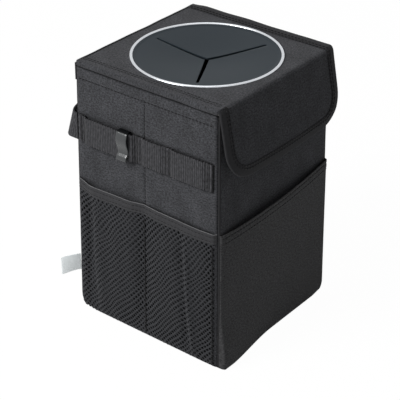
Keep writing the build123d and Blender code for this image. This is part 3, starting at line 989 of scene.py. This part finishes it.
def slit_half(radius):
    """Half the width of a slit, which narrows outwards to a round end."""
    left = SLIT_REACH - radius
    if left <= 0:
        return 0.0
    if left < SLIT_HALF_OUT:
        return math.sqrt(SLIT_HALF_OUT**2 - (SLIT_HALF_OUT - left) ** 2)
    return SLIT_HALF_IN + (SLIT_HALF_OUT - SLIT_HALF_IN) * radius / SLIT_REACH


def membrane():
    """Three joined tongues: each is a sector between two slits, and they meet in the rim past the slits."""
    rings = [2.0 * MM, 3.0 * MM] + spread_evenly(5 * MM, SLIT_REACH - 1.5 * MM, 22)
    rings += [SLIT_REACH - share * MM for share in (1.2, 0.9, 0.6, 0.35, 0.15, 0.03)]
    rings += [SLIT_REACH, SLIT_REACH + 1.5 * MM] + spread_evenly(SLIT_REACH + 3 * MM, MEMBRANE_EDGE, 4)
    sector = 360 / SLIT_COUNT
    tongues = []
    for start in (90 + index * sector for index in range(SLIT_COUNT)):
        rows = []
        for radius in rings:
            gap = math.degrees(math.asin(min(slit_half(radius) / radius, 0.86)))
            inward = 1 - min(radius / (MEMBRANE_EDGE - 2 * MM), 1.0)
            height = MEMBRANE_TOP - MEMBRANE_SAG * smooth_step(-0.25, 1.0, inward) * (inward > 0)
            centre = Vector((0, MOUTH.y, height))
            angles = spread_evenly(start + gap, start + sector - gap, 40)
            rows.append([centre + around(angle) * radius for angle in angles])
        tongues.append(laid_cloth("tongue", rows))
    disc = outward(joined(tongues, "slit_membrane"))
    look(disc, UP)
    thicken(disc, MEMBRANE_FILM)
    soften(disc, 50)
    put_on(disc, "lid", "soft_membrane", RUBBER, "membrane", shade=40)


# Pockets

# The front pocket's slack corner, mouth, stand-off and hem, and the foot, bays and slack of the mesh pockets
POCKET_TOE = 4.6 * MM
FRONT_MOUTH_LEFT = 134.3 * MM
FRONT_MOUTH_RISE = 7.6 * MM
FRONT_GAP = 4.2 * MM
FRONT_OFF = 0.9 * MM
FRONT_HEM = 10.0 * MM
FRONT_HEM_LINES = (3.4 * MM, 8.6 * MM)
MESH_LOW = 3.0 * MM
MESH_GAPS = {"rear": 3.0 * MM, "front": 1.2 * MM}
MESH_SLACK = 3.2 * MM

# Soft folds in the mesh: place towards the rear at the mouth, drift to the foot, width and height
MESH_FOLDS = ((61 * MM, 1 * MM, 5 * MM, -4.5 * MM), (50 * MM, -2 * MM, 6 * MM, 1.9 * MM),
              (71 * MM, 0, 5 * MM, 1.0 * MM), (26 * MM, 8 * MM, 8 * MM, 1.2 * MM),
              (-46 * MM, -10 * MM, 3.5 * MM, 2.6 * MM), (-39 * MM, -10 * MM, 4 * MM, -2.4 * MM))


def foot_draw(height):
    """How far the wall's foot turn lies in from the wall at a height."""
    return FOOT_TURN - math.sqrt(max(FOOT_TURN**2 - max(FOOT_TURN - height, 0) ** 2, 0))


def mouth_height(share):
    """Height of the front pocket's mouth, left to right."""
    return FRONT_MOUTH_LEFT + FRONT_MOUTH_RISE * share - 0.8 * MM * math.sin(math.pi * share)


def front_stand_off(share, height):
    """How far the front pocket stands off the wall."""
    rise = max(height - MESH_LOW, 0) / (mouth_height(share) - MESH_LOW)
    belly = math.sin(math.pi * min(max(share, 0), 1) ** 0.85) ** 0.8
    wave = 0.35 * MM * ripple((share * 0.15, height, 0), 0.035, 5.0)
    return 0.5 * MM + (FRONT_GAP * belly + 0.9 * MM * share) * rise**1.6 + wave * belly * rise


def front_pocket():
    """Cloth pocket over the lower front wall, open at its mouth, with a double-sewn hem."""
    levels = [0.0, 0.012, 0.03] + spread_evenly(0.06, 0.88, 30) + spread_evenly(0.885, 1.0, 26)
    rows = []
    for level in levels:
        row = []
        for side_share, past, drop in edge_stations(60):
            across = (side_share + 1) / 2
            top = mouth_height(across)
            toe = smooth_step(0.48, 0.04, across)
            low = MESH_LOW * (1 - 0.75 * toe)
            height = low + (top - low) * level
            along = side_share * flat_half(height) + past
            lift = front_stand_off(across, height)
            lift += 0.45 * MM * smooth_step(top - FRONT_HEM - 0.6 * MM, top - FRONT_HEM + 0.6 * MM, height)
            lift -= sum(0.3 * MM * bump(top - line, 0.8 * MM, height) for line in FRONT_HEM_LINES)
            turned = drop / (EDGE_TURN + EDGE_TAIL)
            lift += POCKET_TOE * toe * smooth_step(60 * MM, 2 * MM, height) * (1 - turned)
            out = half_at(height) - foot_draw(height) * (1 - 0.8 * toe) + FRONT_OFF + lift - drop * 1.4
            row.append(settle(Vector((along, -out, height))))
        rows.append(row)
    pocket = laid_cloth("front_pocket_cloth", rows)
    thicken(pocket, 0.9 * MM)
    soften(pocket, 60)
    put_on(pocket, "bin", "woven_fabric", POCKET_CLOTH, "front_pocket")


def mesh_stand_off(along, height, toward_rear):
    """How far a mesh pocket stands off its wall: a bay either side of the middle seam, with soft folds."""
    bay = MESH_GAPS["rear"] if toward_rear > 0 else MESH_GAPS["front"]
    share = min(abs(along) / pocket_half(height), 1.0)
    belly = smooth_step(0.0, 0.22, share) * smooth_step(1.0, 0.72, share)
    rise = max(height - MESH_LOW, 0) / (ELASTIC_HIGH - MESH_LOW)
    lift = 0.5 * MM + belly * (bay * rise**1.5 + MESH_SLACK * 4 * rise * max(1 - rise, 0))
    lift -= 0.35 * MM * bump(0, 1.6 * MM, along)
    open_part = smooth_step(1.0, 0.75, rise) * smooth_step(0.0, 0.05, rise)
    for rear, drift, width, depth in MESH_FOLDS:
        lift += depth * bump(rear + drift * (1 - rise), width, toward_rear) * open_part
    lift += 0.5 * MM * ripple((along, height * 0.45, 0), 0.017, 9.0) * belly * smooth_step(0.0, 0.2, rise)
    return max(lift, 0.15 * MM)


def mouth_wave(toward_rear):
    """How far the elastic rides up, at the middle seam and at the rear corner."""
    middle = 1.4 * MM * (1 - min(abs(toward_rear) / (62 * MM), 1.0))
    return middle + 1.8 * MM * smooth_step(58 * MM, 76 * MM, toward_rear)


def on_mesh(side, along, height, proud=0.0):
    """A point of a mesh pocket, from its place on the flat wall."""
    toward_rear = along if side == "right" else -along
    height += mouth_wave(toward_rear) * smooth_step(0.5, 1.0, height / ELASTIC_HIGH)
    tuck = 2.6 * MM * smooth_step(pocket_half(height) - 2.4 * MM, pocket_half(height), abs(along))
    wall = half_at(height) - foot_draw(height) + 0.5 * MM
    out = wall + mesh_stand_off(along, height, toward_rear) + proud - tuck
    return settle(turned_to(side, Vector((along, -out, height))))


# Pitch of the net across its thick strands and along them, half the strands' widths, their rise and how far
# the net is drawn narrower. Then its small and its broad unevenness, as depth and size of wave, and the
# border where the broad one fades. The last is the share of the net that is yarn.
NET_PITCH = (4.0 * MM, 3.4 * MM)
NET_STRAND = (0.70 * MM, 0.36 * MM)
NET_RIDGE = 0.45 * MM
NET_NARROWED = 0.885
NET_JITTER, NET_JITTER_SIZE = 0.4 * MM, 6 * MM
NET_WARP, NET_WARP_SIZE = 2.4 * MM, 21 * MM
NET_BORDER = 9 * MM


def open_net(name, cells):
    """Meshes between raised strands, opened by an inset. One unit is half a strand's width, either way."""
    deselect()
    bpy.ops.mesh.primitive_grid_add(x_subdivisions=cells, y_subdivisions=cells, size=cells)
    net = added(name)
    wide, long = (pitch / strand for pitch, strand in zip(NET_PITCH, NET_STRAND))
    for point in net.data.vertices:
        point.co = (point.co.x * wide, point.co.y * long, 0)
    edit(net)
    bpy.ops.mesh.select_mode(type="FACE")
    bpy.ops.mesh.select_all(action="SELECT")
    bpy.ops.mesh.inset(use_individual=True, thickness=1.0, use_even_offset=True)
    bpy.ops.mesh.select_mode(type="VERT")
    bpy.ops.mesh.select_all(action="INVERT")
    bpy.ops.transform.translate(value=(0, 0, NET_RIDGE))
    bpy.ops.mesh.select_all(action="INVERT")
    bpy.ops.mesh.select_mode(type="FACE")
    bpy.ops.mesh.delete(type="FACE")
    leave_edit()
    return net


def mesh_net(side):
    """A knitted net, turned aslant, trimmed to the pocket and laid over its shape."""
    half, top = pocket_half(MESH_LOW), ELASTIC_LOW + 1.5 * MM
    cells = 2 * math.ceil((half / NET_NARROWED + top / 2) / (math.sqrt(2) * min(NET_PITCH))) + 2
    net = open_net(side + "_pocket_net", cells)
    lean = 1 if side == "left" else -1
    for point in net.data.vertices:
        across = point.co.x * NET_STRAND[0] / math.sqrt(2)
        on = point.co.y * NET_STRAND[1] / math.sqrt(2)
        point.co = (lean * NET_NARROWED * (across + on), -point.co.z, on - across + (MESH_LOW + top) / 2)
    for place, away in (((half, 0, 0), (1, 0, 0)), ((-half, 0, 0), (-1, 0, 0)), ((0, 0, top), (0, 0, 1)),
                        ((0, 0, MESH_LOW), (0, 0, -1))):
        trim(net, place, away)
    for point in net.data.vertices:
        height = point.co.z
        along = point.co.x * pocket_half(height) / half
        warp = NET_WARP * smooth_step(half, half - NET_BORDER, abs(along))
        warp *= smooth_step(MESH_LOW, MESH_LOW + NET_BORDER, height)
        warp *= smooth_step(top, top - NET_BORDER, height)
        spot = (along, height, 0)
        along += NET_JITTER * ripple(spot, NET_JITTER_SIZE, 21.0) + warp * ripple(spot, NET_WARP_SIZE, 31.0)
        height += warp * ripple(spot, NET_WARP_SIZE, 41.0)
        point.co = on_mesh(side, min(max(along, -half), half), height, -point.co.y)
    look(net, wall_way(side))
    thicken(net, 0.7 * MM)
    finish_with(net, "SUBSURF", levels=1, render_levels=1)
    put_on(net, "bin", "mesh_net", NET, side + "_mesh_pocket", shade=80)


# The folded elastic in section, in millimetres up from its lower edge and out, and the two lines of stitches
# in its grooves
ELASTIC_SECTION = ((0.0, -0.2), (0.0, 0.7), (0.7, 1.05), (1.6, 0.95), (2.2, 0.55), (2.8, 0.95), (4.4, 1.1),
                   (5.8, 0.95), (6.4, 0.5), (7.0, 0.95), (8.0, 1.1), (8.8, 1.0), (9.4, 0.6), (9.5, 0.1),
                   (9.0, -0.3), (4.5, -0.3))
ELASTIC_LINES = (2.2 * MM, 6.4 * MM)


def pocket_elastic(side):
    """The folded elastic along a mesh pocket's mouth, with a bead along its top edge, and a light cord on
    the bead as a painted highlight.
    """
    half = pocket_half(ELASTIC_LOW) - 0.2 * MM
    steps = spread_evenly(-half, half, 96)
    rows = []
    for along in steps:
        rows.append([on_mesh(side, along, ELASTIC_LOW + up * MM, out * MM) for up, out in ELASTIC_SECTION])
    band = laid_cloth(side + "_elastic_band", rows)
    look(band, wall_way(side))
    put_on(band, "bin", "elastic", ELASTIC, side + "_pocket_elastic", shade=60)
    # The light cord paints the highlight along the elastic's top edge.
    edge = [on_mesh(side, along, ELASTIC_HIGH, 0.7 * MM) for along in steps]
    cord = tube(side + "_elastic_edge_highlight_cord", edge, 0.3 * MM, 2)
    put_on(cord, "bin", "elastic", EDGE_HIGHLIGHT_CORD, shade=60)


# Webbing, strap, clip and tag

# The webbing's thickness, the loop for the clip, its sewn tacks with their ribs, and its selvedges
WEBBING_CLOTH = 1.3 * MM
WEBBING_LOOP = 2.2 * MM
WEBBING_RAMP = 3.5 * MM
TACK = 8.0 * MM
TACK_PITCH = 2.3 * MM
WEBBING_SLACK = 0.7 * MM
SELVEDGE_PITCH = 3.1 * MM
TACK_MIDDLES = (-WEBBING_END + TACK / 2, -26 * MM, 5 * MM, WEBBING_END - TACK / 2)


def webbing_stand_off(y):
    """How far the side webbing stands off its wall: in loops, sewn flat at its tacks, where it is ribbed."""
    middle = min(TACK_MIDDLES, key=lambda place: abs(y - place))
    clear = abs(y - middle) - TACK / 2
    rib = math.cos(2 * math.pi * (y - middle) / TACK_PITCH) if clear < 0 else 1
    slack = WEBBING_LOOP if TACK_MIDDLES[2] < y < TACK_MIDDLES[3] else WEBBING_SLACK
    return 0.6 * MM + 0.5 * MM * rib + slack * smooth_step(0, WEBBING_RAMP, clear)


def webbing_point(side, y, height, proud=0.0):
    """A point of the side webbing. Its selvedges have small loops of yarn."""
    sign = -1 if side == "left" else 1
    up = (2 * height - WEBBING_LOW - WEBBING_HIGH) / (WEBBING_HIGH - WEBBING_LOW)
    selvedge = 0.35 * MM * up**9 * math.sin(2 * math.pi * y / SELVEDGE_PITCH)
    edge_wave = 0.25 * MM * ripple((0, y, 0), 0.011, 2.0 + sign) + selvedge
    return Vector((sign * (half_at(height) + webbing_stand_off(y) + proud), y, height + edge_wave))


def strapping(piece, side, offset, node_name):
    """Give a laid strip of webbing its thickness and soft edges."""
    look(piece, wall_way(side))
    thicken(piece, WEBBING_CLOTH, offset=offset)
    soften(piece, 60)
    put_on(piece, "bin", "webbing", WEBBING, node_name)


def side_webbing(side):
    """The strip across one side, sewn down at its tacks."""
    steps = spread_evenly(-WEBBING_END, WEBBING_END, 300)
    heights = spread_evenly(WEBBING_LOW, WEBBING_HIGH, 10)
    rows = [[webbing_point(side, y, height) for y in steps] for height in heights]
    strapping(laid_cloth(side + "_webbing_strip", rows), side, 1.0, side + "_webbing")


# The hanging strap: how far its upper edge stands off the back, how much more its lower edge does, its
# belly, its rise and the radius of its bends
STRAP_STAND, STRAP_FLARE, STRAP_BELLY, STRAP_RISE = 4.8 * MM, 7.4 * MM, 2.0 * MM, 4.0 * MM
STRAP_TURN = 7.5 * MM


def hanging_strap():
    """The slack loop behind the box: close to it along its top edge, standing off along its lower edge."""
    side_x, back_y = half_at(WEBBING_LOW) + 0.9 * MM, half_at(WEBBING_LOW)
    bend_x = -side_x + STRAP_TURN

    def loop_line(flare):
        y_back = back_y + STRAP_STAND + STRAP_FLARE * flare
        bend_y = y_back - STRAP_TURN
        plan = [Vector((-side_x, y, 0)) for y in spread_evenly(WEBBING_END + 0.8 * MM, bend_y, 3)]
        for angle in spread_evenly(180, 90, 8)[1:]:
            plan.append(Vector((bend_x, bend_y, 0)) + around(angle) * STRAP_TURN)
        for x in spread_evenly(bend_x, 0, 14)[1:]:
            plan.append(Vector((x, y_back + STRAP_BELLY * smooth_step(bend_x, 0, x), 0)))
        return plan + [Vector((-point.x, point.y, 0)) for point in reversed(plan[:-1])]

    rows = []
    for share in spread_evenly(0, 1, 8):
        height = WEBBING_LOW + (WEBBING_HIGH - WEBBING_LOW) * share
        row = []
        for point in loop_line(1 - share):
            rise = STRAP_RISE * smooth_step(side_x, side_x - 2 * STRAP_TURN, abs(point.x))
            row.append(point + Vector((0, 0, height + rise)))
        rows.append(row)
    strapping(laid_cloth("hanging_strap_loop", rows), "back", 0.0, "hanging_strap")


# The clip in side view, in millimetres off the wall and up from the middle of the webbing: back, bent top,
# bowed front and flared lip. Its front narrows to the lip.
CLIP_LINE = ((1.1, -11.3), (1.1, 0.0), (1.1, 12.9), (1.3, 13.5), (1.9, 13.9), (3.2, 13.9), (4.6, 13.6),
             (5.8, 13.1), (6.5, 12.3), (6.8, 11.2), (7.3, 9.5), (7.6, 7.5), (7.4, 5.0), (6.8, 2.5),
             (6.0, 0.2), (5.4, -2.0), (5.1, -4.0), (5.1, -5.8), (5.6, -7.0), (6.7, -7.9), (7.4, -9.0),
             (7.6, -10.6), (7.4, -12.3))
CLIP_PLATE = 1.2 * MM
CLIP_NARROWED, CLIP_REACH = 0.10, 13.2 * MM
CLIP_SHIFT = 1.5 * MM


def strap_clip():
    """The moulded clip, bent from a plate."""
    low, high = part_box("strap_clip")
    middle_y = (low.y + high.y) / 2 - CLIP_SHIFT
    rows = []
    for out, z in ((out * MM, z * MM) for out, z in CLIP_LINE):
        taper = 1.0 - CLIP_NARROWED * smooth_step(0, CLIP_REACH, -z) * (out > 3 * MM)
        half = (high.y - low.y) / 2 * taper
        height = WEBBING_MIDDLE + z
        x = -(half_at(height) + out)
        rows.append([Vector((x, middle_y + y, height)) for y in spread_evenly(-half, half, 6)])
    clip = laid_cloth("strap_clip_moulding", rows)
    thicken(clip, CLIP_PLATE, offset=0.0)
    outward(clip)
    soften(clip, 50, 0.4 * MM, 3)
    put_on(clip, "clip", "clip_plastic", CLIP, "strap_clip", shade=40)


# The tag: its turn in degrees from square out of the left wall, the turn of its solid, and how far it
# curls, droops and twists
TAG_TURN, TAG_SOLID_TURN = 42, 25
TAG_CURL, TAG_DROOP, TAG_TWIST = 0.9 * MM, 3.4 * MM, 2.4 * MM


def side_tag():
    """A folded ribbon out of the rear left seam, bare on both faces, with a little curl."""
    low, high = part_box("side_tag")
    root = Vector((high.x, low.y, 0))
    away = around(180 - TAG_TURN)
    aside = Vector((-away.y, away.x, 0))
    length = (root.x - low.x) / math.cos(math.radians(TAG_SOLID_TURN)) - 0.6 * MM
    gap = 0.5 * MM
    line = [(reach, -gap) for reach in spread_evenly(0, length - gap, 12)]
    for across, on in map(polar, spread_evenly(-90, 90, 8)[1:-1]):
        line.append((length - gap + gap * across, gap * on))
    line += [(reach, gap) for reach in spread_evenly(length - gap, 0, 12)]
    rows = []
    for share in spread_evenly(0, 1, 8):
        height = low.z + (high.z - low.z) * share
        row = []
        for reach, step in line:
            curl = TAG_CURL * math.sin(2.2 * reach / length) * (0.5 + 0.5 * share)
            twist = TAG_TWIST * (0.5 - share) * smooth_step(0, length, reach)
            drop = Vector((0, 0, height - TAG_DROOP * (reach / length) ** 2))
            row.append(root + away * reach + aside * (step + curl + gap + twist) + drop)
        rows.append(row)
    tag = laid_cloth("bare_side_tag", rows)
    thicken(tag, 0.3 * MM, offset=0.0)
    outward(tag)
    put_on(tag, "bin", "tag_ribbon", TAG, "side_tag")


# Inside


def inner_liner():
    """A leakproof film bag inside the boards: a tapered open box with rounded edges and slack walls."""
    inset, low, top = 3.1 * MM, 3.0 * MM, RIM_Z - 1.2 * MM
    half = half_at(0) - inset
    size = (2 * half, 2 * half, top - low)
    deselect()
    bpy.ops.mesh.primitive_cube_add(size=1, location=(0, 0, (low + top) / 2), scale=size)
    bag = added("liner_bag")
    bpy.ops.object.transform_apply(location=True, rotation=True, scale=True)
    edit(bag)
    pick("FACE", lambda face: face.normal.z > 0.9)
    ratio = (half_at(top) - inset) / half
    bpy.ops.transform.resize(value=(ratio, ratio, 1), center_override=(0, 0, top))
    bpy.ops.mesh.delete(type="FACE")
    pick("EDGE", lambda edge: edge_rise(edge) > 0.1 or middle_of(edge).z < 5 * MM)
    bpy.ops.mesh.bevel(offset=3.5 * MM, segments=3, affect="EDGES")
    bpy.ops.mesh.select_all(action="SELECT")
    bpy.ops.mesh.subdivide(number_cuts=26)
    leave_edit()
    outward(bag)
    for point in bag.data.vertices:
        x, y, height = point.co
        slack = smooth_step(RIM_Z - 4 * MM, RIM_Z - 40 * MM, height) * smooth_step(2 * MM, 20 * MM, height)
        inward = Vector((-x, -y, 0)).normalized()
        point.co = point.co + inward * slack * (0.5 * MM + 0.5 * MM * ripple((x + y, height, 0), 0.03))
    thicken(bag, 0.4 * MM)
    put_on(bag, "bin", "lining", FILM, "liner", shade=40)


# Stitches on the box


def wall_stitches():
    """The lines of stitches that hold the hem at the top of each wall and the crease of each side."""
    hem_foot = RIM_Z - HEM_DEPTH
    half = flat_half(hem_foot)
    hem = [(along, hem_foot) for along in spread_evenly(-half, half, 60)]
    crease = [(0, height) for height in spread_evenly(RIM_Z - 9 * MM, ELASTIC_HIGH - 8 * MM, 50)]
    for name, line, sides in (("hem", hem, WALL_TURNS), ("crease", crease, ("left", "right"))):
        lines = []
        for side in sides:
            spots = []
            for along, height in line:
                out = half_at(height) + wall_relief(side, along, height) + 0.12 * MM
                spots.append(turned_to(side, Vector((along, -out, height))))
            lines.append(spots)
        sewn("wall_" + name + "_stitches", lines, "bin", "woven_fabric")


def front_pocket_point(share, height, proud):
    """A point on the front pocket, clear of its foot, that stands proud of the cloth."""
    out = half_at(height) + FRONT_OFF + front_stand_off(share, height) + proud
    return Vector(((2 * share - 1) * flat_half(height), -out, height))


def pocket_stitches():
    """Two lines along the front pocket's hem."""
    shares = spread_evenly(0.01, 0.99, 60)
    lines = []
    for drop in FRONT_HEM_LINES:
        lines.append([front_pocket_point(share, mouth_height(share) - drop, 0.35 * MM) for share in shares])
    sewn("front_pocket_stitches", lines, "bin", "woven_fabric")


def mesh_stitches(side):
    """The lines along the elastic, and the seams down the middle and the front edge of a mesh pocket, whose
    thread is wide and dark to paint the shade along them too.
    """
    half = pocket_half(ELASTIC_LOW) - 3 * MM
    steps = spread_evenly(-half, half, 80)
    rows = []
    for up in ELASTIC_LINES:
        rows.append([on_mesh(side, along, ELASTIC_LOW + up, 0.5 * MM) for along in steps])
    sewn(side + "_pocket_stitches", rows, "bin", "elastic", width=0.9 * MM)
    heights = spread_evenly(MESH_LOW + 2 * MM, ELASTIC_LOW, 60)
    front = -1 if side == "right" else 1
    places = [front * (pocket_half(height) - 3.2 * MM) for height in heights]
    seams = [[on_mesh(side, 0, height, 0.5 * MM) for height in heights]]
    seams.append([on_mesh(side, place, height, 0.4 * MM) for place, height in zip(places, heights)])
    # The seams' thread is real, made wide and dark as painted shade along the seams.
    sewn(side + "_pocket_seam_and_shade", seams, "bin", "elastic", width=2.1 * MM)


def webbing_stitches(side):
    """Rows of long stitches in each tack's grooves, and dark dashes along both edges as painted shade of
    their loops.
    """
    lines = []
    heights = spread_evenly(WEBBING_LOW + 0.8 * MM, WEBBING_HIGH - 0.8 * MM, 6)
    for middle in TACK_MIDDLES:
        for step in (-1.5, -0.5, 0.5, 1.5):
            y = middle + step * TACK_PITCH
            lines.append([webbing_point(side, y, height, WEBBING_CLOTH + 0.3 * MM) for height in heights])
    sewn(side + "_webbing_stitches", lines, "bin", "webbing", pitch=5.8 * MM, width=1.1 * MM)
    # Dark thread dashes along both edges: painted shade in the gaps between the edge loops.
    edges = []
    for height in (WEBBING_LOW - 0.1 * MM, WEBBING_HIGH + 0.1 * MM):
        steps = spread_evenly(-WEBBING_END + 1 * MM, WEBBING_END - 1 * MM, 120)
        edges.append([webbing_point(side, y, height, 0.75 * WEBBING_CLOTH) for y in steps])
    sewn(side + "_selvedge_shade_dashes", edges, "bin", "webbing", pitch=SELVEDGE_PITCH, width=0.8 * MM)


wall_stitches()
pocket_stitches()
for flank in ("left", "right"):
    mesh_stitches(flank)
    webbing_stitches(flank)
trim_ring()
membrane()
front_pocket()
for flank in ("left", "right"):
    mesh_net(flank)
    pocket_elastic(flank)
    side_webbing(flank)
hanging_strap()
strap_clip()
side_tag()
inner_liner()

# Solids that show as they are
for name in ("front_board", "back_board", "left_board_front", "left_board_rear", "right_board_front",
             "right_board_rear", "base_board", "lid_board", "clamp_ring"):
    materials = frame["nodes"][name].data.materials
    materials.clear()
    materials.append(BLACK_PLASTIC if name == "clamp_ring" else BOARD)


# Stage


def photo_camera():
    """The photograph's view: its angle, place and lens."""
    turn, rise = math.radians(-51.43), math.radians(30.48)
    right = Vector((math.cos(turn), math.sin(turn), 0))
    back = Vector((math.sin(turn) * math.cos(rise), -math.cos(turn) * math.cos(rise), math.sin(rise)))
    axes = Matrix((right, back.cross(right), back)).transposed()
    bpy.ops.object.camera_add(location=(-0.84421, -0.66987, 0.73912), rotation=axes.to_euler())
    camera = bpy.context.object
    camera.data.sensor_width = 36
    camera.data.lens = 125.42
    camera.data.dof.use_dof = False
    bpy.context.scene.camera = camera


def soft_lamp(name, place, aim, size, power):
    bpy.ops.object.light_add(type="AREA", location=place)
    lamp = bpy.context.object
    lamp.name = name
    lamp.data.shape = "DISK"
    lamp.data.size = size
    lamp.data.energy = power
    lamp.rotation_euler = (Vector(place) - Vector(aim)).to_track_quat("Z", "Y").to_euler()


def show_white(owner, rays, own, white, share=1.0):
    """Mix white into the world or the floor where some rays see it. Other rays get its own light."""
    path = node(owner, "LightPath")
    seen = path.outputs["Is Camera Ray"]
    for ray in rays:
        seen = node(owner, "Math", {0: seen, 1: path.outputs[ray]}, operation="MAXIMUM").outputs["Value"]
    part = node(owner, "Math", {0: seen}, operation="MULTIPLY")
    part.inputs[1].default_value = share
    both = node(owner, "MixShader", {"Fac": part.outputs["Value"], 1: own, 2: white})
    output = next(item for item in owner.node_tree.nodes if item.type.startswith("OUTPUT"))
    owner.node_tree.links.new(both.outputs["Shader"], output.inputs["Surface"])


def white_world():
    """Dim light from all round, which the camera sees as white."""
    world = bpy.data.worlds.new("studio")
    bpy.context.scene.world = world
    world.use_nodes = True
    ambient = world.node_tree.nodes["Background"]
    ambient.inputs["Color"].default_value = (1, 1, 1, 1)
    ambient.inputs["Strength"].default_value = 0.18
    white = node(world, "Background", Color=(1, 1, 1, 1))
    rays = ("Is Glossy Ray", "Is Transmission Ray")
    show_white(world, rays, ambient.outputs["Background"], white.outputs["Background"])


def white_floor():
    """Pale paper that keeps a little of the object's shadow."""
    deselect()
    bpy.ops.mesh.primitive_plane_add(size=8, location=(0, 0, 0))
    floor = added("studio_floor")
    paper = surface("white_paper", (0.62, 0.62, 0.62), 0.95, Specular_IOR_Level=0.0)
    glow = node(paper, "Emission", Strength=1.03)
    own = paper.node_tree.nodes["Principled BSDF"].outputs["BSDF"]
    show_white(paper, ("Is Glossy Ray",), own, glow.outputs["Emission"], share=0.95)
    floor.data.materials.append(paper)


photo_camera()
white_world()
white_floor()
soft_lamp("left_softbox", (-1.45, 0.55, 1.35), (0, 0, 0.12), 1.0, 32)
soft_lamp("top_softbox", (0.2, 0.45, 1.9), (0, 0, 0.2), 1.2, 4.5)
bpy.context.scene.view_settings.view_transform = "Standard"
